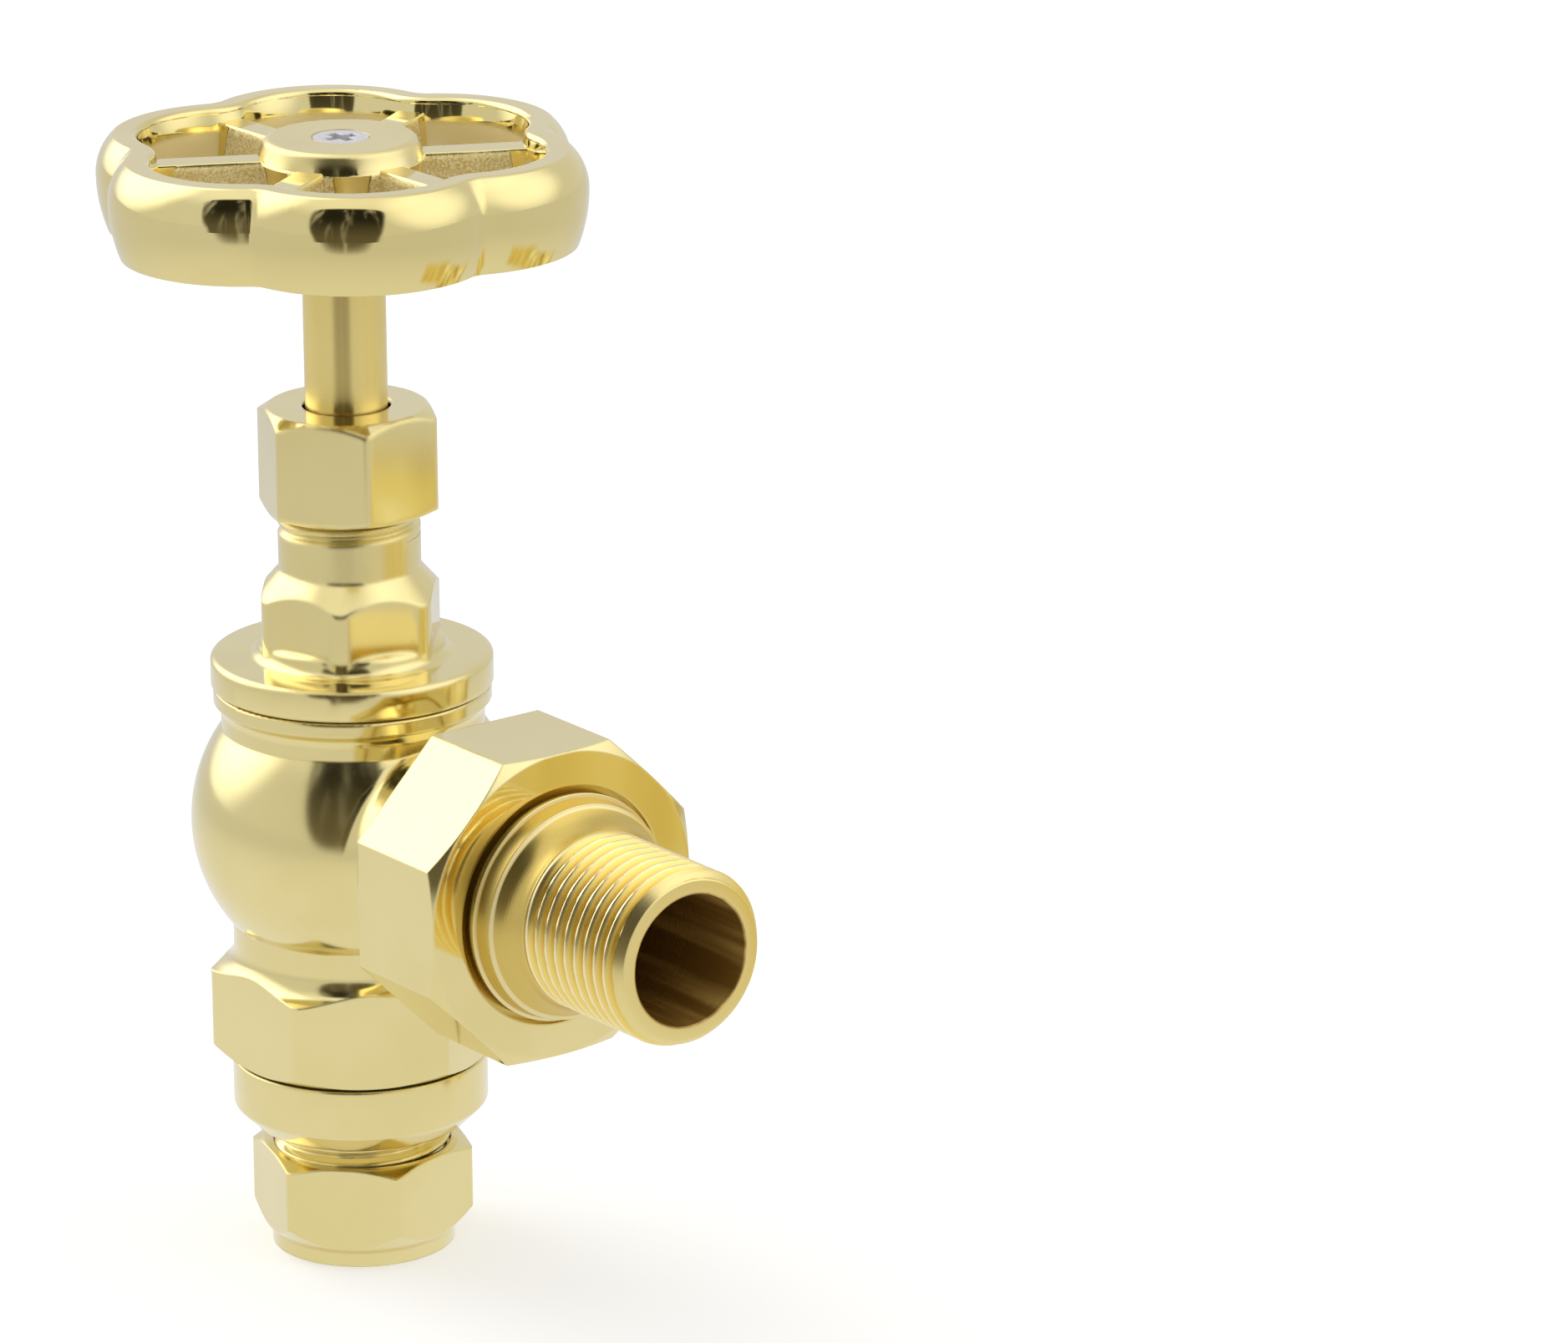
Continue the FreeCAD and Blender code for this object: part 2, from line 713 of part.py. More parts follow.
def seat_washer():
    inner = jumper_stud_radius + thread_clearance
    return ring(inner, jumper_disc_radius - seat_washer_rim, washer_foot_z, jumper_foot_z)


def washer_plate():
    return ring(jumper_stud_radius + thread_clearance, washer_plate_radius, plate_foot_z, washer_foot_z)


def washer_nut():
    blank = nut_blank(6, washer_nut_flats, washer_nut_foot_z, plate_foot_z, 0,
                      washer_nut_flats / 2, edge_round, corner_reach(6, washer_nut_flats), 0)
    return blank.cut(rod(jumper_stud_radius + thread_clearance, washer_nut_foot_z - 1, plate_foot_z + 1))


# Handwheel: a D-section rim swept round six lobes, spokes to the valleys and a fluted hub

lobe_half_angle = math.pi / wheel_lobes
valley_path = rim_outer_bulge + wheel_valley_crease
valley_centre = wheel_valley_reach + valley_path
lobe_span = wheel_lobe_reach + valley_path
lobe_slack = lobe_span - valley_centre * math.cos(lobe_half_angle)
lobe_centre = (lobe_span ** 2 - valley_centre ** 2) / (2 * lobe_slack)
lobe_path = wheel_lobe_reach - lobe_centre
lobe_sweep = math.degrees(math.atan2(valley_centre * math.sin(lobe_half_angle),
                                     valley_centre * math.cos(lobe_half_angle) - lobe_centre))
valley_sweep = lobe_sweep - math.degrees(lobe_half_angle)


def belly_point(bulge, end, rise, share):
    """Point a share of the way along an arc that is upright at the bulge and ends further in."""
    inset = bulge - end
    radius = (inset ** 2 + rise ** 2) / (2 * inset)
    angle = share * math.asin(rise / radius)
    return bulge - radius * (1 - math.cos(angle)), radius * math.sin(angle)


def rim_section(path, outward):
    """D-section of the rim, with its outer side away from the swept arc's centre when outward is 1."""
    lip = rim_lip_width / 2
    soft = rim_edge_round * (1 - math.sqrt(0.5))
    bulge_z = rim_top_z - rim_bulge_drop
    foot_z = rim_top_z - rim_height
    foot_edge_z = foot_z + rim_foot_round
    below_lip, above_bulge = belly_point(rim_outer_bulge, lip, rim_bulge_drop, 0.9)
    entry, middle, leave = corner_arc(Vector(-lip, 0, rim_top_z), Vector(lip, 0, rim_top_z),
                                      Vector(below_lip, 0, bulge_z + above_bulge), rim_edge_round)
    upper = belly_point(rim_outer_bulge, leave.x, leave.z - bulge_z, 0.5)
    lower = belly_point(rim_outer_bulge, rim_foot_outer, foot_edge_z - bulge_z, 0.5)
    inner_lower = belly_point(rim_inner_bulge, rim_foot_inner, foot_edge_z - bulge_z, 0.5)
    inner_upper = belly_point(rim_inner_bulge, lip, rim_bulge_drop - rim_edge_round, 0.5)
    corners = [
        (rim_edge_round - lip, rim_top_z),
        (entry.x, entry.z),
        (middle.x, middle.z, "through"),
        (leave.x, leave.z),
        (upper[0], bulge_z + upper[1], "through"),
        (rim_outer_bulge, bulge_z),
        (lower[0], bulge_z + lower[1], "through"),
        (rim_foot_outer, foot_edge_z),
        ((rim_foot_outer - rim_foot_inner) / 2, foot_z, "through"),
        (-rim_foot_inner, foot_edge_z),
        (-inner_lower[0], bulge_z + inner_lower[1], "through"),
        (-rim_inner_bulge, bulge_z),
        (-inner_upper[0], bulge_z + inner_upper[1], "through"),
        (-lip, rim_top_z - rim_edge_round),
        (soft - lip, rim_top_z - soft, "through"),
    ]
    return [(outward * path + corner[0],) + corner[1:] for corner in corners]


def rim_arc(path, outward, sweep, centre):
    """One stretch of the rim, swept about an upright axis at a distance from the spindle."""
    arc = turned(rim_section(path, outward), 2 * sweep)
    arc.rotate(Vector(0, 0, 0), Vector(0, 0, 1), -sweep)
    arc.translate(Vector(centre, 0, 0))
    return arc


def spoke():
    foot_z = spoke_top_z - spoke_depth
    section = face_of([
        (-spoke_foot_width / 2, foot_z, edge_round),
        (spoke_foot_width / 2, foot_z, edge_round),
        (spoke_top_width / 2, spoke_top_z, edge_round),
        (-spoke_top_width / 2, spoke_top_z, edge_round),
    ])
    section.rotate(Vector(0, 0, 0), Vector(0, 0, 1), 90)
    section.translate(Vector(hub_top_radius - hub_flute_depth, 0, 0))
    return section.extrude(Vector(wheel_valley_reach - hub_top_radius + hub_flute_depth, 0, 0))


def hub():
    shoulder_z = hub_top_z - hub_shoulder_drop
    blank = turned([
        (0, wheel_foot_z),
        (hub_top_radius, wheel_foot_z, edge_round),
        (hub_side_radius, shoulder_z, hub_edge_round),
        (hub_top_radius, hub_top_z, hub_edge_round),
        (0, hub_top_z),
    ])
    flute = rod(hub_flute_radius, wheel_foot_z - 1, shoulder_z)
    flute.translate(Vector(hub_side_radius + hub_flute_radius - hub_flute_depth, 0, 0))
    return blank.cut(around_wheel(flute, wheel_lobes, 180 / wheel_lobes))


def screw_envelope(gap):
    """Countersunk screw on the spindle axis, grown by a gap."""
    shank = screw_shank_radius + gap
    head = screw_head_radius + gap
    top_z = hub_top_z - face_clearance
    return turned([
        (0, hub_top_z - screw_length),
        (shank, hub_top_z - screw_length),
        (shank, top_z - head + shank),
        (head, top_z),
        (head, top_z + gap),
        (0, top_z + gap),
    ])


def handwheel():
    lobes = around_wheel(rim_arc(lobe_path, 1, lobe_sweep, lobe_centre), wheel_lobes, 180 / wheel_lobes)
    valleys = around_wheel(rim_arc(valley_path, -1, valley_sweep, valley_centre), wheel_lobes)
    spokes = around_wheel(spoke(), wheel_lobes)
    wheel = hub().fuse(lobes + valleys + spokes).removeSplitter()
    square_hole = prism(4, spindle_square + 2 * face_clearance, wheel_foot_z - 1,
                        square_top_z + seat_clearance, 180 / 4)
    wheel = wheel.cut([square_hole, screw_envelope(2 * face_clearance)])
    wheel.rotate(Vector(0, 0, 0), Vector(0, 0, 1), wheel_turn)
    return wheel


def wheel_screw():
    slot = Part.makeBox(screw_recess_span, screw_recess_width, screw_recess_depth + 1,
                        Vector(-screw_recess_span / 2, -screw_recess_width / 2,
                               hub_top_z - screw_recess_depth))
    return screw_envelope(0).cut(around_wheel(slot, 4))


nodes = {
    "compression_nut": compression_nut(),
    "olive": olive(),
    "inlet_adaptor": inlet_adaptor(),
    "adaptor_seal": adaptor_seal(),
    "valve_body": valve_body(),
    "union_nut": union_nut(),
    "tail_seal": tail_seal(),
    "tailpiece": tailpiece(),
    "bonnet": bonnet(),
    "bonnet_gasket": bonnet_gasket(),
    "gland_washer": gland_washer(),
    "gland_follower": gland_follower(),
    "gland_nut": gland_nut(),
    "spindle": spindle(),
    "jumper": jumper(),
    "jumper_pin": jumper_pin(),
    "seat_washer": seat_washer(),
    "washer_plate": washer_plate(),
    "washer_nut": washer_nut(),
    "handwheel": handwheel(),
    "wheel_screw": wheel_screw(),
}
for ring_index in range(packing_ring_count):
    nodes[f"packing_ring_{ring_index + 1}"] = packing_ring(ring_index)

os.makedirs("parts", exist_ok=True)
for name, shape in nodes.items():
    shape.exportStep(f"parts/{name}.step")
    print(name, "solids", len(shape.Solids), "valid", shape.isValid(), "volume", round(shape.Volume, 1))
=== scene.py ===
# %% [markdown]
# # A brass radiator valve with a handwheel
# The solids of the valve are already made, at their real size and in their real places. This lesson
# dresses them: it cuts the screw threads that the plain solids lack, gives each piece the finish it has
# on a real valve, and sets up a white studio with a camera where the photographer stood.
# Lengths on the valve are written in millimetres and multiplied by MM, because Blender counts in metres.
# Lengths in the room round it are in metres.

# %% Load the solids
import math

import bmesh
import bpy
import numpy as np
from mathutils import Matrix, Vector


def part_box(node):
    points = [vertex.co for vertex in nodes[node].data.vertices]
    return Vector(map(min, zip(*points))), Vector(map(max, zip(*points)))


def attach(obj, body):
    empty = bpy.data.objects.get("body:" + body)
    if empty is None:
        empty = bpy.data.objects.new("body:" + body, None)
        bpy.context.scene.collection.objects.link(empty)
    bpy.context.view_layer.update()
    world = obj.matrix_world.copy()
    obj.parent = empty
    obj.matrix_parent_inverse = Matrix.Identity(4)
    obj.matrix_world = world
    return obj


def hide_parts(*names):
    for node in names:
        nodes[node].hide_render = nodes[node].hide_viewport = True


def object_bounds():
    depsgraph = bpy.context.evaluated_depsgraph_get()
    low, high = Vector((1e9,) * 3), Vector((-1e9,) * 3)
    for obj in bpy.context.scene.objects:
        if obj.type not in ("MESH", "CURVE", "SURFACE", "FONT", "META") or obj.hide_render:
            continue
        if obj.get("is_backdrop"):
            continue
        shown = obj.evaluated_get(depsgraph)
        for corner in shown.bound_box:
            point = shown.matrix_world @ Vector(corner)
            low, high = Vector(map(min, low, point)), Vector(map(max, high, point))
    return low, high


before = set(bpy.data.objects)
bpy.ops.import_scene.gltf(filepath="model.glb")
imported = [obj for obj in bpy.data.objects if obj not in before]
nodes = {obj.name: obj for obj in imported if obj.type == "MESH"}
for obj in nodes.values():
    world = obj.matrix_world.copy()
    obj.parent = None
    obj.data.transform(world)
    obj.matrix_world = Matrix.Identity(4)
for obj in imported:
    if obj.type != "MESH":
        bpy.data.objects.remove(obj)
solid_low, solid_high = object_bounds()
MM = 0.001
print("solids", len(nodes), "height in mm", round((solid_high.z - solid_low.z) / MM, 2))

# %% [markdown]
# ## Turned pieces with a screw thread
# The radiator tail and the pipe stub are lathe work: one outline spun about an axis, with a thread cut
# into part of it. A screw modifier would make a spring and a boolean would leave thin triangles. Here the
# outline is spun as a grid of rings instead, and on the threaded stretch the radius falls and rises with
# the distance from the helix, so that the thread is part of one clean skin.
# An outline is a list of points, each with its place along the axis, its radius, and a mark that is 1
# where a thread is cut. Two helpers shape it: an arc for a flare, and a small round for a corner.


# %% Helpers for outlines
def arc(start, middle, end, count):
    """Points on the circle through three points of an outline, without the first one."""
    (ax, ay), (bx, by), (cx, cy) = start, middle, end
    d = 2 * (ax * (by - cy) + bx * (cy - ay) + cx * (ay - by))
    a2, b2, c2 = ax * ax + ay * ay, bx * bx + by * by, cx * cx + cy * cy
    ux = (a2 * (by - cy) + b2 * (cy - ay) + c2 * (ay - by)) / d
    uy = (a2 * (cx - bx) + b2 * (ax - cx) + c2 * (bx - ax)) / d
    radius = math.hypot(ax - ux, ay - uy)
    first = math.atan2(ay - uy, ax - ux)
    sweep = math.atan2(cy - uy, cx - ux) - first
    sweep = (sweep + math.pi) % (2 * math.pi) - math.pi
    angles = [first + sweep * (step + 1) / count for step in range(count)]
    return [(ux + radius * math.cos(angle), uy + radius * math.sin(angle)) for angle in angles]


def softened(corner, before, after, size, count=4):
    """A small round in place of a sharp corner, between its two neighbours."""
    corner, before, after = (np.array(point, float) for point in (corner, before, after))
    entry = corner + (before - corner) / np.linalg.norm(before - corner) * size
    leave = corner + (after - corner) / np.linalg.norm(after - corner) * size
    points = []
    for step in range(count + 1):
        t = step / count
        points.append(tuple((1 - t) ** 2 * entry + 2 * t * (1 - t) * corner + t * t * leave))
    return points


def marked(points, mark):
    """Outline points with their mark: 1 where a thread is cut, 0 elsewhere."""
    return [(along, radius, mark) for along, radius in points]


print("a quarter arc ends at", arc((1, 0), (math.sqrt(0.5), math.sqrt(0.5)), (0, 1), 4)[-1])

# %% [markdown]
# ## The shape of a thread
# A pipe thread has straight flanks with a small round on the crest and at the root. It could be drawn as
# one tooth and copied along a helix, but the copies never meet cleanly. Here one function gives the height
# of the thread at any phase of a turn, and another takes that off the outline's radius at every angle. The
# cut fades at both ends, because the die that cuts a real thread doesn't start or stop with a step.

# %% The thread's shape
CREST_TO, ROOT_FROM, ROUNDING = 0.12, 0.9, 0.3


def thread_height(phase):
    """1 on the crest and 0 at the root of a rounded pipe thread, for a phase counted in turns."""
    away = np.abs((phase + 0.5) % 1.0 - 0.5) * 2
    flank = np.clip((ROOT_FROM - away) / (ROOT_FROM - CREST_TO), 0, 1)
    return flank * flank * (3 - 2 * flank) * ROUNDING + flank * (1 - ROUNDING)


def threaded_radius(outline, angles, thread):
    """Radius of each outline point at each angle, with the thread cut in."""
    along, threaded = outline[:, :1], outline[:, 2:] > 0
    radius = np.repeat(outline[:, 1:2], len(angles), axis=1)
    turns = along / thread["pitch"] - angles[None, :] / (2 * math.pi)
    rise = np.clip((along - thread["start"]) / thread["pitch"], 0, 1)
    fall = np.clip((thread["stop"] - along) / thread["fade"], 0, 1)
    fade = np.minimum(rise, fall)
    cut = np.maximum(radius, thread["crest"]) - thread["depth"] * fade * (1 - thread_height(turns))
    return np.where(threaded, np.minimum(radius, cut), radius)


print("thread crest and root", thread_height(np.array([0.0, 0.5])))

# %% [markdown]
# ## From outline to skin
# Each point of an outline becomes a ring of points, and two neighbouring rings become a band of four-sided
# faces. The outline walks right round the section, so the last ring joins the first and the skin is
# closed. Smooth shading hides the facets, and edges over a set angle are kept sharp, so that shoulders
# look cut and not melted.

# %% Spin an outline into a skin
TURNED_SHARP = 38


def put_in(name, data):
    """An object with this data, placed in the scene."""
    made = bpy.data.objects.new(name, data)
    bpy.context.scene.collection.objects.link(made)
    return made


def closed_mesh(name, points, faces):
    """A mesh from points in millimetres, with its faces turned outwards."""
    mesh = bpy.data.meshes.new(name)
    mesh.from_pydata((np.array(points) * MM).tolist(), [], faces)
    made = bmesh.new()
    made.from_mesh(mesh)
    bmesh.ops.recalc_face_normals(made, faces=made.faces)
    made.to_mesh(mesh)
    made.free()
    return mesh


def smooth_over(mesh, degrees):
    """Smooth shading that leaves an edge sharp where its faces meet at a larger angle."""
    mesh.shade_smooth()
    mesh.set_sharp_from_angle(angle=math.radians(degrees))


def spun(name, outline, axis, centre, thread, around):
    """A closed piece from an outline of (along, radius, mark), spun about X or Z."""
    outline = np.array(outline, float)
    angles = np.linspace(0, 2 * math.pi, around, endpoint=False)
    radius = threaded_radius(outline, angles, thread)
    along = np.repeat(outline[:, :1], around, axis=1)
    side, up = radius * np.cos(angles), radius * np.sin(angles)
    grid = np.stack([along, side, up] if axis == "X" else [side, up, along], axis=2)
    rings, faces = len(outline), []
    for ring in range(rings):
        here, beyond = ring * around, (ring + 1) % rings * around
        for spot in range(around):
            beside = (spot + 1) % around
            faces.append((here + spot, here + beside, beyond + beside, beyond + spot))
    mesh = closed_mesh(name, grid.reshape(-1, 3) + np.array(centre), faces)
    smooth_over(mesh, TURNED_SHARP)
    print(name, "rings", rings, "faces", len(mesh.polygons))
    return put_in(name, mesh)


print("turned edges stay sharp over", TURNED_SHARP, "degrees")

# %% [markdown]
# ## The radiator tail
# On the real valve this is a bar turned to a collar, two small steps and a hollow flare, then threaded with
# a half-inch pipe thread, which has fourteen turns to the inch. Its end is chamfered so that the thread
# starts easily. The outline below walks round the section once: up the shoulder, along the outside to the
# end, and back along the bore.

# %% Measure the tail
PIPE_PITCH, RINGS_PER_TURN = 1.814, 16
tail_low, tail_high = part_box("tailpiece")
tail_back, tail_end = tail_low.x / MM, tail_high.x / MM
tail_height = (tail_low.z + tail_high.z) / 2 / MM
shoulder_front, collar_front, step_front, thread_start = tail_back + 3.0, 42.2, 44.3, 48.1
tail_shoulder, tail_collar, step_back_radius, step_radius = 15.4, 13.4, 13.0, 12.7
flare_radius, flare_middle, tail_crest = 12.3, (45.82, 11.033), 10.4
tip_radius, tip_chamfer, bore_radius = 9.3, 1.1, 7.63
cone_radius, cone_depth = 9.3, 1.5
lip, ring_round, tip_round, bore_round = 0.05, 0.14, 0.16, 0.25
chamfer_start = tail_end - tip_chamfer
print("tail from", round(tail_back, 2), "to", round(tail_end, 2), "threaded from", thread_start)

# %% Spin the tail
ringed = [(tail_back, cone_radius), (tail_back, tail_shoulder)]
ringed += [(shoulder_front, tail_shoulder), (shoulder_front, tail_collar)]
ringed += softened((collar_front, tail_collar), (shoulder_front, tail_collar),
                   (collar_front, step_back_radius), ring_round)
ringed += [(collar_front + lip, step_back_radius)]
ringed += softened((step_front - lip, step_radius), (collar_front, step_back_radius),
                   (step_front - lip, flare_radius), ring_round)
screwed = arc((step_front, flare_radius), flare_middle, (thread_start, tail_crest), 30)[:-1]
screwed += [(x, tail_crest) for x in np.arange(thread_start, chamfer_start, PIPE_PITCH / RINGS_PER_TURN)]
screwed += [(chamfer_start + tip_chamfer * t, tail_crest - tip_chamfer * t) for t in np.linspace(0, 0.9, 12)]
bored = softened((tail_end, tip_radius), (chamfer_start, tail_crest), (tail_end, bore_radius), tip_round)
bored += softened((tail_end, bore_radius), (tail_end, tip_radius), (tail_back, bore_radius), bore_round)
bored += [(tail_back + cone_depth, bore_radius)]
tail_outline = marked(ringed, 0) + marked(screwed, 1) + marked(bored, 0)
tail_thread = {"pitch": PIPE_PITCH, "crest": tail_crest, "depth": 1.0,
               "start": thread_start - 0.9, "stop": tail_end + 3, "fade": 1}
tail = spun("threaded_tail", tail_outline, "X", (0, 0, tail_height), tail_thread, 192)
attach(tail, "tail")
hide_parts("tailpiece")

# %% [markdown]
# ## The inlet adaptor
# It screws into the foot of the body and carries the thread for the compression nut. Only a ridge or two
# of that thread shows between the collar and the nut, but more comes to light when the nut is undone, so
# the whole thread is cut. Its outline is spun like the tail's, but about the upright axis: up the thread,
# over the collar and the plain spigot, and down inside to the cone that squeezes the olive.

# %% Measure the inlet adaptor
stub_low, stub_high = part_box("inlet_adaptor")
stub_foot, stub_top = stub_low.z / MM, stub_high.z / MM
collar_foot, collar_top, collar_radius, collar_chamfer, collar_round = 15.3, 23.5, 15.05, 2.4, 0.3
stub_crest, stub_tip, stub_chamfer, run_out_radius = 10.48, 9.98, 0.5, 10.2
spigot_radius, waterway, pipe_radius, pipe_stop = 12.4, 6.9, 7.65, 19.3
olive_cone_radius, olive_cone_top = 9.63, 9.7
print("adaptor from", round(stub_foot, 2), "to", round(stub_top, 2), "collar from", collar_foot)

# %% Spin the inlet adaptor
collar_under = (collar_foot, collar_radius - collar_chamfer)
collar_corner = (collar_foot + collar_chamfer, collar_radius)
collar_rim = (collar_top, collar_radius)
screwed = [(stub_foot, stub_tip)]
screwed += [(stub_foot + stub_chamfer * t, stub_tip + stub_chamfer * t) for t in np.linspace(0.2, 1, 4)]
crest_rings = np.arange(stub_foot + 0.6, collar_foot - 0.02, PIPE_PITCH / RINGS_PER_TURN)
screwed += [(z, stub_crest) for z in crest_rings]
collared = [(collar_foot, run_out_radius), collar_under]
collared += softened(collar_corner, collar_under, collar_rim, collar_round)
collared += softened(collar_rim, collar_corner, (collar_top, spigot_radius), collar_round)
collared += [(collar_top, spigot_radius), (stub_top, spigot_radius), (stub_top, waterway)]
collared += [(pipe_stop, waterway), (pipe_stop, pipe_radius), (olive_cone_top, pipe_radius)]
stub_outline = marked([(stub_foot, olive_cone_radius)], 0) + marked(screwed, 1) + marked(collared, 0)
stub_thread = {"pitch": PIPE_PITCH, "crest": stub_crest, "depth": 0.95,
               "start": stub_foot - 2, "stop": collar_foot - 0.3, "fade": 0.9}
stub = spun("threaded_inlet", stub_outline, "Z", (0, 0, 0), stub_thread, 160)
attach(stub, "valve")
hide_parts("inlet_adaptor")

# %% [markdown]
# ## The bonnet's threaded neck
# The bonnet has a hexagon, so it can't be spun whole. Its thread is cut the way a lathe cuts it: a pointed
# tool follows the helix round the neck and takes a groove away. A copy of the solid is used, and the
# groove is a small three-sided worm that is subtracted from it.

# %% Model the lathe's cut
GLAND_PITCH, STEPS_PER_TURN = 1.5, 64
neck_radius, neck_root, neck_groove_foot, neck_top = 8.3, 7.6, 87.3, 96.2
worm_clear, worm_beyond, worm_deeper = 0.12, 0.15, 0.05
worm_half, worm_least = 0.46 * GLAND_PITCH, 0.02


def groove_worm(name, radius, root, foot, top):
    """A three-sided worm along a helix, wide outside and pointed inside.

    It fades in over the first third of its first turn.
    """
    count = int((top - foot) / GLAND_PITCH * STEPS_PER_TURN)
    points, faces = [], []
    for step in range(count + 1):
        angle = 2 * math.pi * step / STEPS_PER_TURN
        height = foot + GLAND_PITCH * step / STEPS_PER_TURN
        share = min(1, 3 * step / STEPS_PER_TURN)
        point = radius + worm_clear - (radius + worm_clear - root) * share - worm_deeper
        half = worm_half * share + worm_least
        for reach, shift in ((point, 0), (radius + worm_beyond, -half), (radius + worm_beyond, half)):
            points.append((reach * math.cos(angle), reach * math.sin(angle), height + shift))
        if step:
            a, b = 3 * step - 3, 3 * step
            faces += [(a + i, a + (i + 1) % 3, b + (i + 1) % 3, b + i) for i in range(3)]
    faces += [(2, 1, 0), (3 * count, 3 * count + 1, 3 * count + 2)]
    return put_in(name, closed_mesh(name, points, faces))


worm = groove_worm("neck_groove", neck_radius, neck_root, neck_groove_foot, neck_top + GLAND_PITCH)
print("groove faces", len(worm.data.polygons))

# %% Cut the neck's thread
BONNET_SHARP = 25
bonnet = put_in("threaded_bonnet", nodes["bonnet"].data.copy())
cut = bonnet.modifiers.new("thread", "BOOLEAN")
cut.operation = "DIFFERENCE"
cut.solver = "EXACT"
cut.object = worm
bpy.context.view_layer.update()
worked_out = bonnet.evaluated_get(bpy.context.evaluated_depsgraph_get())
cut_mesh = bpy.data.meshes.new_from_object(worked_out)
bonnet.modifiers.remove(cut)
bonnet.data = cut_mesh
bpy.data.objects.remove(worm)
old_normals = cut_mesh.attributes.get("custom_normal")
if old_normals is not None:
    cut_mesh.attributes.remove(old_normals)
smooth_over(cut_mesh, BONNET_SHARP)
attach(bonnet, "valve")
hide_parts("bonnet")
print("bonnet faces", len(cut_mesh.polygons))

# %% [markdown]
# ## Writing shaders as sums
# A finish on this valve is arithmetic: roughness is a base plus a share of some noise, a mask is one
# value less another. Wiring Math nodes by hand hides that, so one small class stands for an output of a
# node tree, and adding or multiplying two of them adds the Math node. Any other node comes from one
# method, which takes its type, its settings and what goes into its sockets.


# %% The wire
class Wire:
    """One output socket of a node tree, with arithmetic."""

    def __init__(self, tree, socket=None):
        self.tree = tree
        self.socket = socket

    def node(self, kind, settings=None, inputs=None, output=0):
        """Adds a node: its settings first, then the values or wires of its sockets."""
        made = self.tree.nodes.new(kind)
        for name, value in (settings or {}).items():
            setattr(made, name, value)
        self.fill(made, inputs or {})
        return Wire(self.tree, made.outputs[output] if len(made.outputs) else None)

    @staticmethod
    def fill(made, inputs):
        """Links the wires and sets the plain values of a node's sockets."""
        for name, value in inputs.items():
            if isinstance(value, Wire):
                value.tree.links.new(value.socket, made.inputs[name])
            else:
                made.inputs[name].default_value = value

    def sum(self, operation, first, second):
        """A Math node with two values or wires."""
        return self.node("ShaderNodeMath", {"operation": operation}, {0: first, 1: second})

    def __add__(self, other):
        return self.sum("ADD", self, other)

    __radd__ = __add__

    def __sub__(self, other):
        return self.sum("SUBTRACT", self, other)

    def __rsub__(self, other):
        return self.sum("SUBTRACT", other, self)

    def __mul__(self, other):
        return self.sum("MULTIPLY", self, other)

    __rmul__ = __mul__

    def __truediv__(self, other):
        return self.sum("DIVIDE", self, other)

    def __rtruediv__(self, other):
        return self.sum("DIVIDE", other, self)

    def __pow__(self, other):
        return self.sum("POWER", self, other)

    def __rpow__(self, other):
        return self.sum("POWER", other, self)


print("operators", [name.strip("_") for name in vars(Wire) if name.startswith("__r")])

# %% [markdown]
# ## Strands that every finish uses
# A finish starts from a new material, its main shader and the place on the piece, which is measured from
# the valve's own origin so that a pattern stays on its piece when that moves. Clouds of noise, a soft step
# from 0 to 1 and a blend of two colours are then enough for almost every kind of wear, and they bake well,
# because they depend on nothing but that place.


# %% Common strands
def plug(shader, **inputs):
    """Plugs wires into the shader's sockets and sets plain values on them."""
    Wire.fill(shader, {name.replace("_", " "): value for name, value in inputs.items()})


def new_finish(name, **fixed):
    """A new material, the place on its piece, and its shader with what is the same all over."""
    material = bpy.data.materials.new(name)
    material.use_nodes = True
    shader = material.node_tree.nodes["Principled BSDF"]
    plug(shader, **fixed)
    place = Wire(material.node_tree).node("ShaderNodeTexCoord", output="Object")
    return material, place, shader


def noise(place, scale, detail=2.0, roughness=0.5, stretch=None):
    """Cloudy values round a half, with cells of 1 / scale metres, stretched along an axis."""
    if stretch:
        place = place.node("ShaderNodeVectorMath", {"operation": "MULTIPLY"}, {0: place, 1: stretch})
    return place.node("ShaderNodeTexNoise", {}, {"Vector": place, "Scale": scale, "Detail": detail,
                                                 "Roughness": roughness})


def step_up(value, low, high):
    """0 below low, 1 above high, and a smooth rise between."""
    return value.node("ShaderNodeMapRange", {"interpolation_type": "SMOOTHSTEP", "clamp": True},
                      {"Value": value, "From Min": low, "From Max": high})


def blend_colour(share, first, second):
    """The first colour where share is 0 and the second where it is 1."""
    return share.node("ShaderNodeMix", {"data_type": "RGBA", "clamp_factor": True},
                      {"Factor": share, 6: first, 7: second}, output=2)


def split(place):
    """The three coordinates of a place or a direction."""
    first = place.node("ShaderNodeSeparateXYZ", {}, {0: place})
    return [Wire(place.tree, output) for output in first.socket.node.outputs]


def bumped(height, strength, depth, **under):
    """A normal that follows a height on the surface, over another normal if one is given."""
    return height.node("ShaderNodeBump", {}, {"Strength": strength, "Distance": depth,
                                             "Height": height, **under})


strands = (plug, new_finish, noise, step_up, blend_colour, split, bumped)
print("strands", [strand.__name__ for strand in strands])

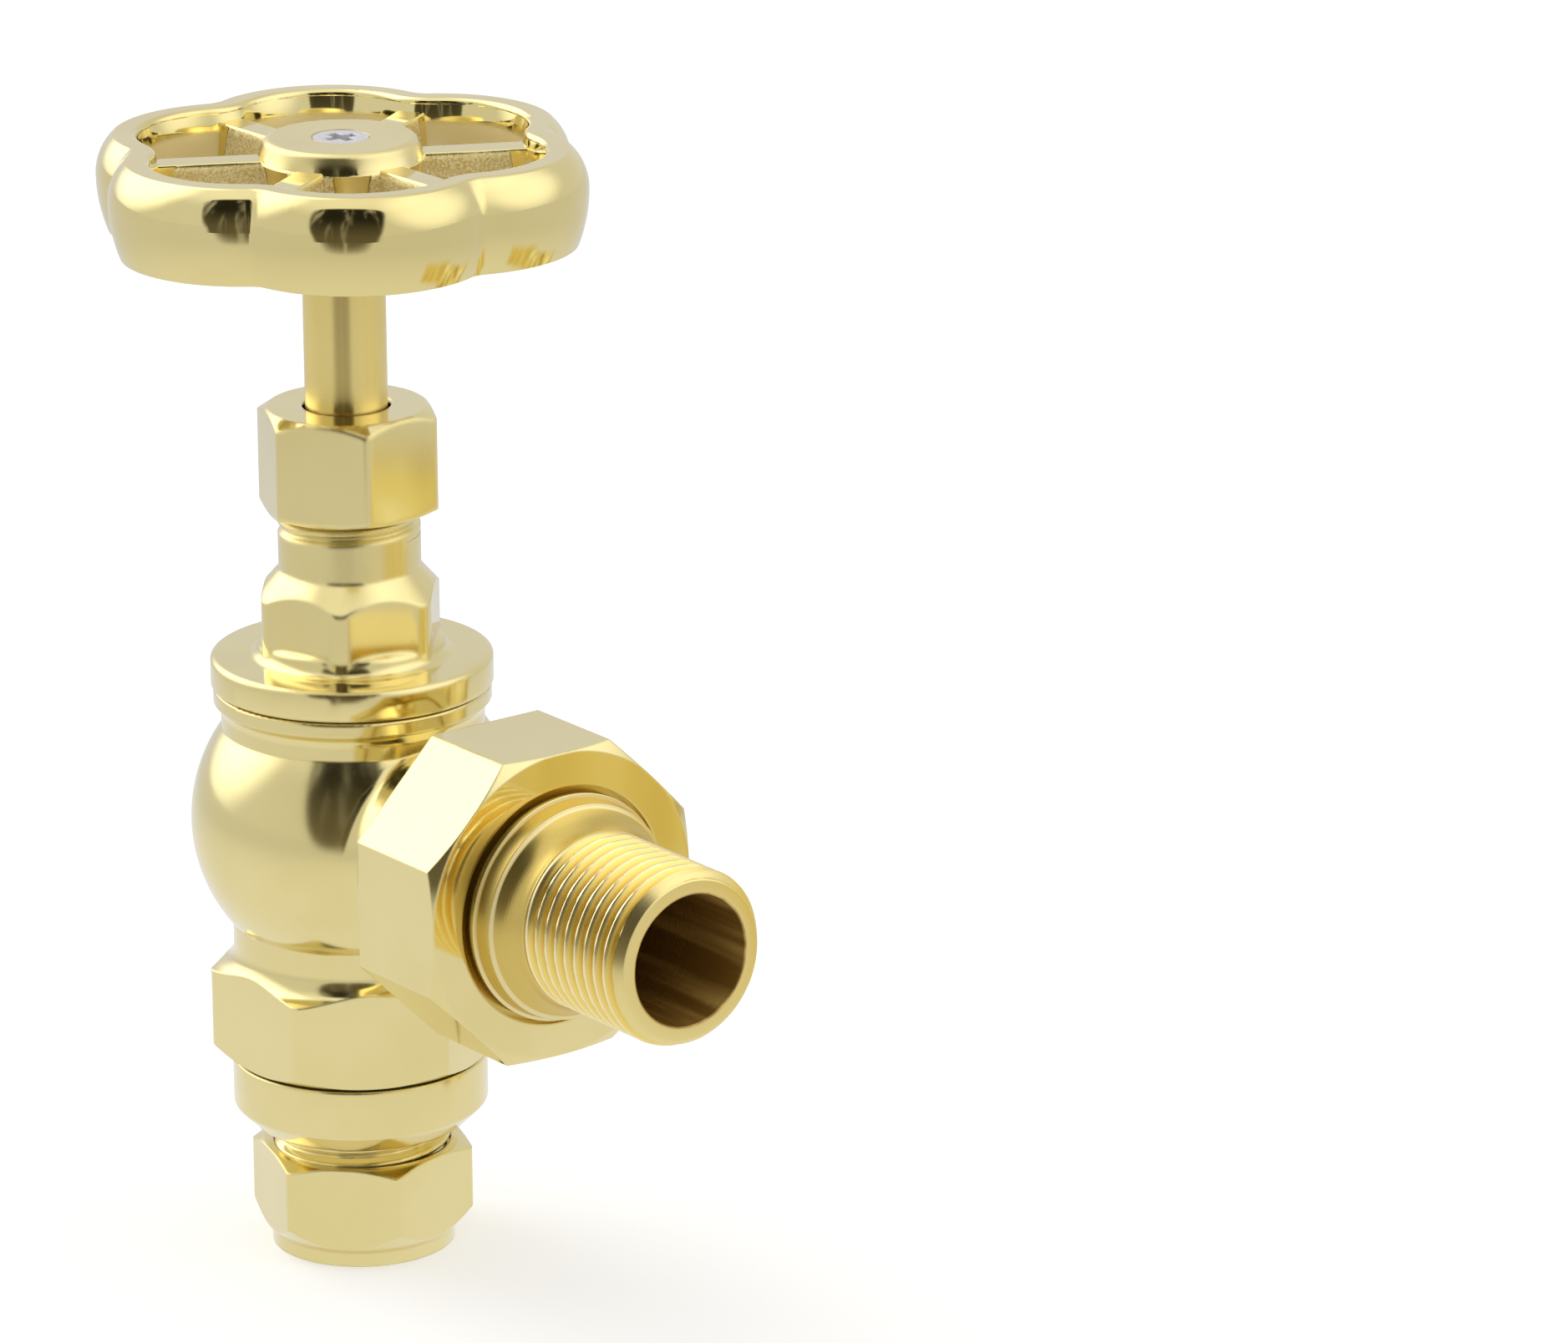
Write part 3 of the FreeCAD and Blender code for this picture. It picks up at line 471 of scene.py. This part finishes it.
# %% [markdown]
# ## Polished brass
# The body, the bonnet and the nuts are buffed on a wheel until they mirror the room, and then lacquered so
# that they stay bright. Real buffing is never quite even: it leaves slow waves in the surface, a haze of
# hair-fine scratches, and edges that are worn a little round. The colour is the same alloy all over with
# only a breath of change, because in a mirror the room gives the picture. The lacquer is the shader's coat,
# which whitens what is seen at a low angle. No buff reaches the bonnet's neck, so above its hexagon that
# piece stays satin.

# %% Make polished brass
PALE_BRASS, WARM_BRASS = (0.85, 0.73, 0.345, 1), (0.81, 0.685, 0.30, 1)
CLOUD_SCALE, WAVE_SCALE, SCUFF_SCALE = 45, 160, 900
COAT_HAZE = 0.06
NECK_FOOT, NECK_BLEND = 83.4 * MM, 0.6 * MM


def edge_rounding(place, radius):
    """A normal that rolls over the hard edges, for the shading alone."""
    return place.node("ShaderNodeBevel", {"samples": 6}, {"Radius": radius})


def buffed_colour(cloud):
    """The alloy's two tones, a breath apart."""
    return blend_colour(step_up(cloud, 0.35, 0.65), PALE_BRASS, WARM_BRASS)


def polished_brass(name, haze=0.05, waves=0.35, edge=0.4 * MM, satin=0.0):
    """Buffed brass under lacquer, with a satin share that is added above the bonnet's hexagon."""
    material, place, shader = new_finish(name, Metallic=1.0, Coat_Weight=0.6, Coat_Roughness=COAT_HAZE)
    cloud = noise(place, CLOUD_SCALE, 3)
    scuff = noise(place, SCUFF_SCALE, 4, 0.65, (1, 1, 0.15))
    roughness = haze + 0.04 * step_up(scuff, 0.5, 0.75) + 0.03 * cloud
    if satin:
        roughness = roughness + satin * step_up(split(place)[2], NECK_FOOT, NECK_FOOT + NECK_BLEND)
    height = noise(place, WAVE_SCALE, 1) * waves + 0.04 * scuff
    normal = bumped(height, 0.25, 0.06 * MM, Normal=edge_rounding(place, edge))
    plug(shader, Base_Color=buffed_colour(cloud), Roughness=roughness, Normal=normal)
    return material


mirror_brass = polished_brass("mirror_brass", waves=0.6)
worn_brass = polished_brass("worn_brass", waves=0.6, edge=0.9 * MM)
soft_brass = polished_brass("soft_brass", haze=0.13, waves=0.2)
bonnet_brass = polished_brass("bonnet_brass", haze=0.1, edge=0.8 * MM, satin=0.14)
print("polished finishes", mirror_brass.name, worn_brass.name, soft_brass.name, bonnet_brass.name)

# %% [markdown]
# ## Painted light and oxide on the tail
# Light is painted into the tail's colour: its ring edges and the crests of its thread carry a painted
# highlight, the collar and the flare are painted a duller gold as shade, and the roots are painted a deeper
# gold as shade between the crests. The tip is paler, and the bore, which nobody polishes, is brown with
# oxide in streaks. All of that follows from two measures, the place along the tail and the distance from
# its axis, so no picture has to be painted.

# %% Painted light and oxide on the tail
# Painted shade: a duller gold for the collar and the flare, and a deeper gold for the thread's roots.
COLLAR_SHADE_GOLD, ROOT_SHADE_GOLD = (0.65, 0.48, 0.13, 1), (0.84, 0.58, 0.12, 1)
# A painted highlight for the thread's crests and the ring edges.
HIGHLIGHT_GOLD = (1.0, 0.92, 0.62, 1)
BORE_DARK, BORE_LIGHT = (0.32, 0.17, 0.03, 1), (0.80, 0.52, 0.14, 1)
ROOT_TO, FLANK_TO, CREST_FROM = 9.5 * MM, 10.2 * MM, 10.38 * MM
BORE_TO, METAL_FROM = 7.7 * MM, 8.0 * MM
# How far the painted highlight reaches from each ring edge.
EDGE_HIGHLIGHT_TO, EDGE_HIGHLIGHT_GONE = 0.05 * MM, 0.14 * MM


def distance_from(first, second):
    """How far a point lies from an axis, from its two coordinates across it."""
    return (first * first + second * second) ** 0.5


def tail_light_and_oxide(place, colour):
    """The tail's colour with its painted highlight and shade and its bore's oxide, and the share of it that
    is still clean metal.
    """
    x, y, z = split(place)
    radius = distance_from(y, z - tail_height * MM)
    past_flare = step_up(x, (thread_start - 0.8) * MM, (thread_start + 0.2) * MM)
    tip = step_up(x, (chamfer_start - 0.6) * MM, (chamfer_start - 0.2) * MM)
    threaded = past_flare * (1 - tip)
    # Painted shade: the collar and the flare are made duller.
    colour = blend_colour(0.85 - 0.85 * past_flare, colour, COLLAR_SHADE_GOLD)
    colour = blend_colour(0.7 * tip, colour, PALE_BRASS)
    # Painted shade: the thread's roots are a deeper gold.
    colour = blend_colour(threaded * (1 - step_up(radius, ROOT_TO, FLANK_TO)), colour, ROOT_SHADE_GOLD)
    # Painted highlight on the thread's crests.
    colour = blend_colour(0.8 * threaded * step_up(radius, FLANK_TO, CREST_FROM), colour, HIGHLIGHT_GOLD)
    # Painted highlight along the two ring edges.
    for edge in (collar_front, step_front):
        apart = x.node("ShaderNodeMath", {"operation": "ABSOLUTE"}, {0: x - edge * MM})
        colour = blend_colour(0.5 - 0.5 * step_up(apart, EDGE_HIGHLIGHT_TO, EDGE_HIGHLIGHT_GONE), colour, HIGHLIGHT_GOLD)
    inside = 1 - step_up(radius, BORE_TO, METAL_FROM)
    streak = step_up(noise(place, 220, 3, 0.6, (0.06, 1, 1)), 0.42, 0.66)
    colour = blend_colour(inside, colour, blend_colour(streak, BORE_DARK, BORE_LIGHT))
    return colour, 1 - 0.6 * inside


print("ring edges at", collar_front, step_front)

# %% [markdown]
# ## Turned brass
# The spindle and the tail come straight off the lathe. The tool leaves rings a fraction of a millimetre
# apart, which dull the mirror to satin. The rings are made from the place along the axis alone, so that
# they run right round the piece. On the spindle they are too fine to see: there they only draw each
# highlight out into a stripe along the bar, which the shader's own uneven roughness does.

# %% Make turned brass
SPINDLE_TONES = (0.90, 0.74, 0.31, 1), (0.80, 0.62, 0.20, 1)
TAIL_TONES = (1.0, 0.80, 0.28, 1), (0.93, 0.69, 0.18, 1)
LATHE_FEED, ROUND_THE_BAR = 0.3 * MM, 0.25


def turned_brass(name, axis, haze, marks, tones=SPINDLE_TONES, drawn_out=0.0, light_and_oxide=None):
    """Brass off the lathe about X or Z, where marks is how much the rings show."""
    material, place, shader = new_finish(name, Metallic=1.0, Anisotropic=drawn_out,
                                         Anisotropic_Rotation=ROUND_THE_BAR)
    x, _, z = split(place)
    along, stretch = {"X": (x, (1, 0.02, 0.02)), "Z": (z, (0.02, 0.02, 1))}[axis]
    ring = along.node("ShaderNodeMath", {"operation": "SINE"}, {0: along * (2 * math.pi / LATHE_FEED)})
    chatter = noise(place, 2600, 3, 0.6, stretch)
    cloud = noise(place, 60, 2)
    colour = blend_colour(cloud + marks * (chatter - 0.5), *tones)
    # On the tail this function paints highlight and shade into the colour and adds the bore's oxide.
    if light_and_oxide:
        colour, metal = light_and_oxide(place, colour)
        plug(shader, Metallic=metal)
    roughness = haze + 0.1 * marks * chatter + 0.05 * cloud
    normal = bumped(ring * 0.25 + chatter, 0.5 * marks, 0.02 * MM)
    plug(shader, Base_Color=colour, Roughness=roughness, Normal=normal)
    return material


spindle_brass = turned_brass("turned_spindle", "Z", haze=0.22, marks=0.12, drawn_out=0.85)
# The tail's colour takes painted highlight and shade, and oxide in its bore.
tail_brass = turned_brass("turned_tail", "X", haze=0.23, marks=0.35, tones=TAIL_TONES, light_and_oxide=tail_light_and_oxide)
inner_brass = turned_brass("turned_inner", "Z", haze=0.26, marks=1.0)
print("turned finishes", spindle_brass.name, tail_brass.name, inner_brass.name)

# %% [markdown]
# ## The handwheel's skins
# The wheel is cast in sand. Its rim, the tops of its spokes and its hub are then polished, but the buff only
# rolls a little way over each edge, so the sides of the spokes keep the grain of the sand and a gold that
# sparkles. The hub and the rim's inner wall are buffed less than the outside, so they are satin. One
# material does all of it, with masks from the place and the way the surface faces: raw casting is what
# stands upright below a line, and the line lies just under the hub's edge, a hair under the spokes' tops
# and half way down the inside of the rim.

# %% Find the raw casting
HUB_REACH, RIM_INSIDE = 9.0 * MM, 20.2 * MM
HUB_LINE, SPOKE_LINE, RIM_LINE, WALL_LINE = 129.0 * MM, 131.9 * MM, 127.6 * MM, 131.4 * MM
CRISP, SOFT, RAGGED = 0.5 * MM, 1.6 * MM, 0.9 * MM


def wheel_masks(place, cloud):
    """How far a spot is past the hub, raw casting and satin wall, each from 0 to 1."""
    x, y, z = split(place)
    radius = distance_from(x, y)
    facing = place.node("ShaderNodeNewGeometry", output="Normal")
    to_piece = {"vector_type": "NORMAL", "convert_from": "WORLD", "convert_to": "OBJECT"}
    nx, ny, lean = split(place.node("ShaderNodeVectorTransform", to_piece, {"Vector": facing}))
    past_hub = step_up(radius, HUB_REACH, HUB_REACH + 0.6 * MM)
    at_rim = step_up(radius, RIM_INSIDE - 1.0 * MM, RIM_INSIDE)
    line = HUB_LINE + (SPOKE_LINE - HUB_LINE) * past_hub + (RIM_LINE - SPOKE_LINE) * at_rim
    under = line - z + RAGGED * (cloud - 0.5)
    below = step_up(under, -CRISP, CRISP) * past_hub + step_up(under, -SOFT, SOFT) * (1 - past_hub)
    outward = step_up((nx * x + ny * y) / radius, -0.4, -0.1)
    inside = 1 - step_up(radius, RIM_INSIDE + 1.4 * MM, RIM_INSIDE + 2.4 * MM) * outward
    cast = below * inside * (1 - step_up(lean, 0.55, 0.85))
    wall = step_up(WALL_LINE - z, -CRISP, CRISP) * (1 - outward) * (1 - cast)
    return past_hub, cast, wall


print("casting below", [round(line / MM, 1) for line in (HUB_LINE, SPOKE_LINE, RIM_LINE)])

# %% Make the wheel's brass
WALL_BRASS = (0.97, 0.84, 0.47, 1)
CAST_DEEP, CAST_SPARK = (0.80, 0.57, 0.17, 1), (1.0, 0.93, 0.58, 1)


def wheel_brass(name):
    """Polished brass with a satin hub and inner wall, and raw casting on the sides of the spokes."""
    material, place, shader = new_finish(name, Metallic=1.0, Coat_Weight=0.5, Coat_Roughness=COAT_HAZE)
    cloud = noise(place, CLOUD_SCALE, 3)
    past_hub, cast, wall = wheel_masks(place, cloud)
    grain = noise(place, 3000, 5, 0.7)
    pits = noise(place, 700, 2, 0.5)
    raw = blend_colour(step_up(grain, 0.42, 0.6), CAST_DEEP, CAST_SPARK)
    colour = blend_colour(cast, blend_colour(wall, buffed_colour(cloud), WALL_BRASS), raw)
    roughness = 0.05 + 0.03 * cloud + 0.26 * (1 - past_hub) + 0.35 * wall + cast * (0.16 + 0.16 * grain)
    height = noise(place, WAVE_SCALE, 1) * 0.02 + cast * (grain + 0.8 * pits)
    plug(shader, Base_Color=colour, Roughness=roughness, Metallic=1 - 0.55 * cast - 0.6 * wall,
         Normal=bumped(height, 0.8, 0.4 * MM))
    return material


cast_brass = wheel_brass("handwheel_brass")
print("wheel finish", cast_brass.name, "nodes", len(cast_brass.node_tree.nodes))

# %% [markdown]
# ## Steel, rubber and packing
# The wheel's screw is bright steel, and the gasket under the bonnet is brown fibre that shows as a thin
# line. The washers and seals are black rubber and the packing is a waxy white yarn; they hide inside the
# valve, but a piece that is taken out should still look like what it is. Rubber, fibre and yarn differ
# only in colour and grain, so one function makes all three.

# %% Make the small finishes
STEEL_LIGHT, STEEL_GREY = (0.84, 0.83, 0.86, 1), (0.68, 0.67, 0.70, 1)
RUBBER_TONES = (0.012, 0.012, 0.012, 1), (0.03, 0.03, 0.03, 1)
FIBRE_TONES = (0.09, 0.045, 0.015, 1), (0.17, 0.10, 0.04, 1)
YARN_TONES = (0.62, 0.60, 0.55, 1), (0.80, 0.79, 0.74, 1)


def bright_steel(name):
    """Zinc-plated steel: half mirror, half a pale lilac grey that lights up the screw's recess."""
    material, place, shader = new_finish(name, Metallic=0.4)
    scuff = noise(place, 1800, 4, 0.65)
    colour = blend_colour(step_up(scuff, 0.35, 0.7), STEEL_LIGHT, STEEL_GREY)
    normal = bumped(scuff, 0.3, 0.03 * MM, Normal=edge_rounding(place, 0.2 * MM))
    plug(shader, Base_Color=colour, Roughness=0.16 + 0.14 * scuff, Normal=normal)
    return material


def matt_stuff(name, tones, grain_scale, haze):
    """A dull material with a fine grain between two tones."""
    material, place, shader = new_finish(name)
    grain = noise(place, grain_scale, 4, 0.6)
    colour = blend_colour(step_up(grain, 0.3, 0.7), *tones)
    plug(shader, Base_Color=colour, Roughness=haze + 0.2 * grain, Normal=bumped(grain, 0.4, 0.08 * MM))
    return material


screw_steel = bright_steel("screw_steel")
seal_rubber = matt_stuff("seal_rubber", RUBBER_TONES, grain_scale=1500, haze=0.5)
brown_fibre = matt_stuff("brown_fibre", FIBRE_TONES, grain_scale=1800, haze=0.6)
packing_yarn = matt_stuff("packing_yarn", YARN_TONES, grain_scale=2200, haze=0.6)
print("small finishes", screw_steel.name, seal_rubber.name, brown_fibre.name, packing_yarn.name)

# %% [markdown]
# ## Dressing the pieces
# Each piece gets the finish of the way it was made. The solids come in with one slot from their record,
# so the slots are emptied first.

# %% Give each piece its finish
finishes = {
    mirror_brass: [nodes["union_nut"]],
    worn_brass: [nodes["gland_nut"]],
    bonnet_brass: [bonnet],
    soft_brass: [nodes["valve_body"], nodes["compression_nut"], stub],
    spindle_brass: [nodes["spindle"]],
    tail_brass: [tail],
    inner_brass: [nodes[name] for name in ("olive", "gland_follower", "gland_washer", "jumper",
                                           "jumper_pin", "washer_plate", "washer_nut")],
    cast_brass: [nodes["handwheel"]],
    screw_steel: [nodes["wheel_screw"]],
    seal_rubber: [nodes[name] for name in ("seat_washer", "tail_seal", "adaptor_seal")],
    brown_fibre: [nodes["bonnet_gasket"]],
    packing_yarn: [nodes[name] for name in ("packing_ring_1", "packing_ring_2", "packing_ring_3")],
}
for finish, pieces in finishes.items():
    for piece in pieces:
        piece.data.materials.clear()
        piece.data.materials.append(finish)
print("pieces dressed", sum(len(pieces) for pieces in finishes.values()))

# %% [markdown]
# ## The studio
# A mirror shows what stands round it, so the room matters as much as the metal. The valve stands on white,
# with a large soft light on its left, another behind on its right, and light from above. The lamps below
# throw the light and the shadow. Mirrors don't see them, because a bare lamp would show as a hard square;
# what they see is painted into the sky further down.

# %% Hang the lamps
VALVE_MIDDLE = Vector((0.012, 0, 0.062))


def toward(azimuth, elevation):
    """The direction of a place in the room, seen from the valve: 0 is in front, 90 is on its right."""
    a, e = math.radians(azimuth), math.radians(elevation)
    return Vector((math.sin(a) * math.cos(e), -math.cos(a) * math.cos(e), math.sin(e)))


def soft_box(name, azimuth, elevation, distance, width, height, brightness):
    """A rectangular lamp that faces the valve, as bright as it says, where 1 is white paper."""
    lamp = bpy.data.lights.new(name, "AREA")
    lamp.shape = "RECTANGLE"
    lamp.size, lamp.size_y = width, height
    lamp.energy = brightness * math.pi * width * height
    box = put_in(name, lamp)
    box.location = VALVE_MIDDLE + toward(azimuth, elevation) * distance
    box.rotation_mode = "QUATERNION"
    box.rotation_quaternion = toward(azimuth, elevation).to_track_quat("Z", "Y")
    box.visible_glossy = False
    print(name, "watts", round(lamp.energy, 2))


soft_box("left_box", -66, 38, distance=1.3, width=0.9, height=0.8, brightness=1.6)
soft_box("right_box", 128, 34, distance=1.4, width=0.8, height=0.8, brightness=1.2)
soft_box("top_box", 10, 84, distance=1.3, width=0.9, height=0.9, brightness=0.9)

# %% [markdown]
# ## Three cards for the mirrors
# The photographer's side of the room is dark, and that is the dark shape in the middle of every polished
# curve. A tall card plays that part: almost black at the top, grey and narrower towards the floor, and soft
# at its edges. Close behind the valve on its right stand two gold reflectors, one narrow and one low, which
# put warm patches on the flats that face them. All three are seen by mirrors alone, so they throw no shadow
# and tint nothing.


# %% Stand a card
def bare_tree(owner):
    """The wire of a material's or a world's node tree, emptied."""
    owner.use_nodes = True
    owner.node_tree.nodes.clear()
    return Wire(owner.node_tree)


def sheet(name, corners, finish):
    """A flat sheet with four corners and one finish."""
    mesh = bpy.data.meshes.new(name)
    mesh.from_pydata([tuple(corner) for corner in corners], [], [(0, 1, 2, 3)])
    mesh.materials.append(finish)
    return put_in(name, mesh)


def measured_along(place, direction):
    """How far a place lies along a direction."""
    return place.node("ShaderNodeVectorMath", {"operation": "DOT_PRODUCT"},
                      {0: place, 1: tuple(direction)}, output="Value")


def standing_card(name, azimuth, distance, half_width, height):
    """An upright card that faces the valve: a spot on it, and its places across and up, from -1 to 1."""
    out, side = toward(azimuth, 0), toward(azimuth + 90, 0)
    corners = [out * distance + side * s * half_width + Vector((0, 0, t * height))
               for s, t in ((-1, 0), (1, 0), (1, 1), (-1, 1))]
    finish = bpy.data.materials.new(name)
    spot = bare_tree(finish).node("ShaderNodeTexCoord", output="Object")
    card = sheet(name, corners, finish)
    card.visible_camera = card.visible_diffuse = card.visible_shadow = False
    card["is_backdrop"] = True
    return spot, measured_along(spot, side) / half_width, split(spot)[2] * (2 / height) - 1


def light_up(colour, share):
    """Lets a card glow in a colour where share is 1, and leaves it clear where share is 0."""
    light = share.node("ShaderNodeEmission", {}, {"Color": colour, "Strength": 1.0})
    clear = share.node("ShaderNodeBsdfTransparent")
    mixed = share.node("ShaderNodeMixShader", {}, {0: share, 1: clear, 2: light})
    share.node("ShaderNodeOutputMaterial", {}, {"Surface": mixed})


print("a card faces the valve from", [round(v, 2) for v in toward(47, 0)])

# %% Stand the dark card
CARD_FOOT, CARD_TOP = (0.15, 0.13, 0.09, 1), (0.02, 0.018, 0.012, 1)
CARD_STREAK = (0.9, 0.9, 0.85, 1)
spot, across, up = standing_card("dark_side", 47, distance=0.30, half_width=0.27, height=0.6)
narrow = across * (1.4 - 0.4 * up)
corner = ((narrow * narrow) ** 2 + (up * up) ** 2) ** 0.25
streak = step_up(noise(spot, 16, 3, 0.6, (1, 1, 0.1)), 0.52, 0.70)
shade = blend_colour(step_up(up, -1.0, 0.2), CARD_FOOT, CARD_TOP)
light_up(blend_colour(0.4 * streak, shade, CARD_STREAK), 1 - step_up(corner, 0.86, 1.0))
print("dark card nodes", len(spot.tree.nodes))

# %% Stand the gold reflectors
SHADED_GOLD, FULL_GOLD, BRIGHT_GOLD = (0.50, 0.38, 0.13, 1), (0.84, 0.74, 0.37, 1), (1.0, 0.95, 0.72, 1)
LOW_TONES = (0.68, 0.53, 0.18, 1), (0.82, 0.69, 0.31, 1)
spot, across, up = standing_card("gold_reflector", 142, distance=0.095, half_width=0.026, height=0.078)
blotch = noise(spot, 90, 2, 0.5, (1, 1, 0.4))
gold = blend_colour(step_up(blotch, 0.34, 0.54), SHADED_GOLD, FULL_GOLD)
gold = blend_colour(step_up(blotch, 0.54, 0.68), gold, BRIGHT_GOLD)
light_up(gold, (1 - step_up(up, 0.75, 1.0)) * (1 - step_up(across * across, 0.5, 1.0)))
print("gold reflector nodes", len(spot.tree.nodes))
spot, across, up = standing_card("low_reflector", 122, distance=0.122, half_width=0.03, height=0.07)
blotch = noise(spot, 160, 2, 0.5, (1, 1, 0.1))
band = step_up(up, -0.5, -0.1) * (1 - step_up(up, 0.5, 1.0))
light_up(blend_colour(step_up(blotch, 0.3, 0.7), *LOW_TONES), band * (1 - step_up(across * across, 0.4, 1.0)))
print("low reflector nodes", len(spot.tree.nodes))

# %% [markdown]
# ## The floor
# The floor is white paper. The camera sees it a little brighter than the lamps alone make it, so that it
# goes to white and still keeps the valve's soft shadow. In the mirrors it is bright close by and fades
# with distance, as paper does away from its lamps, which is why the upper flats look deeper in colour than
# the lower ones.

# %% Make the paper
WHITE, PAPER_WHITE = (1, 1, 1, 1), (0.86, 0.86, 0.86, 1)


def kinds_of_ray(wire):
    """1 for what the camera sees itself, and 1 for what it sees in a mirror or through glass."""
    camera_ray, in_mirror, through = (wire.node("ShaderNodeLightPath", output=kind)
                                      for kind in ("Is Camera Ray", "Is Glossy Ray", "Is Transmission Ray"))
    either = in_mirror + through
    return camera_ray, either.sum("MINIMUM", either, 1.0)


paper = bpy.data.materials.new("white_paper")
paper_wire = bare_tree(paper)
camera_ray, mirror_ray = kinds_of_ray(paper_wire)
floor_x, floor_y, _ = split(paper_wire.node("ShaderNodeTexCoord", output="Object"))
away = distance_from(floor_x, floor_y)
seen_lift = (0.42 + 0.5 * step_up(away, 0.4, 1.4)) * camera_ray
mirror_light = 0.87 - 0.17 * step_up(away, 0.06, 0.36)
matt = paper_wire.node("ShaderNodeBsdfDiffuse", {}, {"Color": PAPER_WHITE})
lift = paper_wire.node("ShaderNodeEmission", {}, {"Color": WHITE, "Strength": seen_lift})
lit = paper_wire.node("ShaderNodeAddShader", {}, {0: matt, 1: lift})
mirrored = paper_wire.node("ShaderNodeEmission", {}, {"Color": WHITE, "Strength": mirror_light})
both = paper_wire.node("ShaderNodeMixShader", {}, {0: mirror_ray, 1: lit, 2: mirrored})
paper_wire.node("ShaderNodeOutputMaterial", {}, {"Surface": both})
print("paper nodes", len(paper.node_tree.nodes))

# %% Lay the floor
FLOOR_REACH, FLOOR_GAP = 4.0, 0.02 * MM
floor_corners = [(FLOOR_REACH * s, FLOOR_REACH * t, 0) for s, t in ((-1, -1), (1, -1), (1, 1), (-1, 1))]
floor = sheet("paper_floor", floor_corners, paper)
floor.location.z = solid_low.z - FLOOR_GAP
floor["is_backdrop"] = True
print("floor at", round(floor.location.z / MM, 3))

# %% [markdown]
# ## The sky
# The sky is plain white where the camera looks and dimmer where it only lights the floor. In the mirrors
# it carries three soft glows, one for each lamp, so that a polished curve shows a soft highlight and not
# the hard square of a lamp.

# %% Hang the sky
MIRROR_SKY, LIGHTING_SKY = 0.74, 0.5
sky = bpy.data.worlds.new("white_room")
bpy.context.scene.world = sky
sky_wire = bare_tree(sky)
camera_ray, mirror_ray = kinds_of_ray(sky_wire)
look = sky_wire.node("ShaderNodeTexCoord", output="Generated")


def glow(azimuth, elevation, full, gone):
    """1 close to a direction of the sky, falling softly to 0 at the angle where it is gone."""
    towards = measured_along(look, toward(azimuth, elevation))
    return step_up(towards, math.cos(math.radians(gone)), math.cos(math.radians(full)))


left_glow, right_glow = glow(-68, 36, full=8, gone=46), glow(128, 34, full=8, gone=44)
top_glow = glow(10, 84, full=10, gone=50)
in_mirrors = MIRROR_SKY + 1.4 * left_glow + 0.6 * right_glow + 0.3 * top_glow
strength = camera_ray + (1 - camera_ray) * (mirror_ray * in_mirrors + (1 - mirror_ray) * LIGHTING_SKY)
white = sky_wire.node("ShaderNodeBackground", {}, {"Color": WHITE, "Strength": strength})
sky_wire.node("ShaderNodeOutputWorld", {}, {"Surface": white})
print("sky nodes", len(sky.node_tree.nodes))

# %% [markdown]
# ## The camera
# A long lens stands almost a metre off, a little above the valve and round to its right. Its place and
# angle were found by matching some fifty points of the picture, so the valve sits left of the middle, as
# it does there.

# %% Stand the camera
AZIMUTH, ELEVATION, ROLL = 52.214, 17.738, math.radians(-0.267)
DISTANCE, ASIDE, ABOVE, AIM_HEIGHT = 949.912, 50.331, 5.053, 65
FOCAL_PIXELS, PICTURE_WIDTH, SENSOR_WIDTH = 9733.18, 1877, 36.0
back = toward(AZIMUTH, ELEVATION)
level = Vector((math.cos(math.radians(AZIMUTH)), math.sin(math.radians(AZIMUTH)), 0))
upward = back.cross(level)
right = math.cos(ROLL) * level + math.sin(ROLL) * upward
top = -math.sin(ROLL) * level + math.cos(ROLL) * upward
lens = bpy.data.cameras.new("camera")
lens.sensor_fit = "HORIZONTAL"
lens.sensor_width = SENSOR_WIDTH
lens.lens = FOCAL_PIXELS / PICTURE_WIDTH * SENSOR_WIDTH
camera = put_in("camera", lens)
eye = (Vector((0, 0, AIM_HEIGHT)) + back * DISTANCE + right * ASIDE + top * ABOVE) * MM
camera.matrix_world = Matrix.Translation(eye) @ Matrix((right, top, back)).transposed().to_4x4()
bpy.context.scene.camera = camera
bpy.context.scene.view_settings.view_transform = "Standard"
print("lens in mm", round(lens.lens, 1), "camera at", [round(v, 3) for v in eye])

# %% [markdown]
# ## Closing
# The dressed valve must be the size of the solids, so the last cell prints how much its box differs from
# theirs.

# %% Print the difference in size
seen_low, seen_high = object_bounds()
solid_size, seen_size = solid_high - solid_low, seen_high - seen_low
print("dressed less solids in mm", [round(more / MM, 3) for more in seen_size - solid_size])
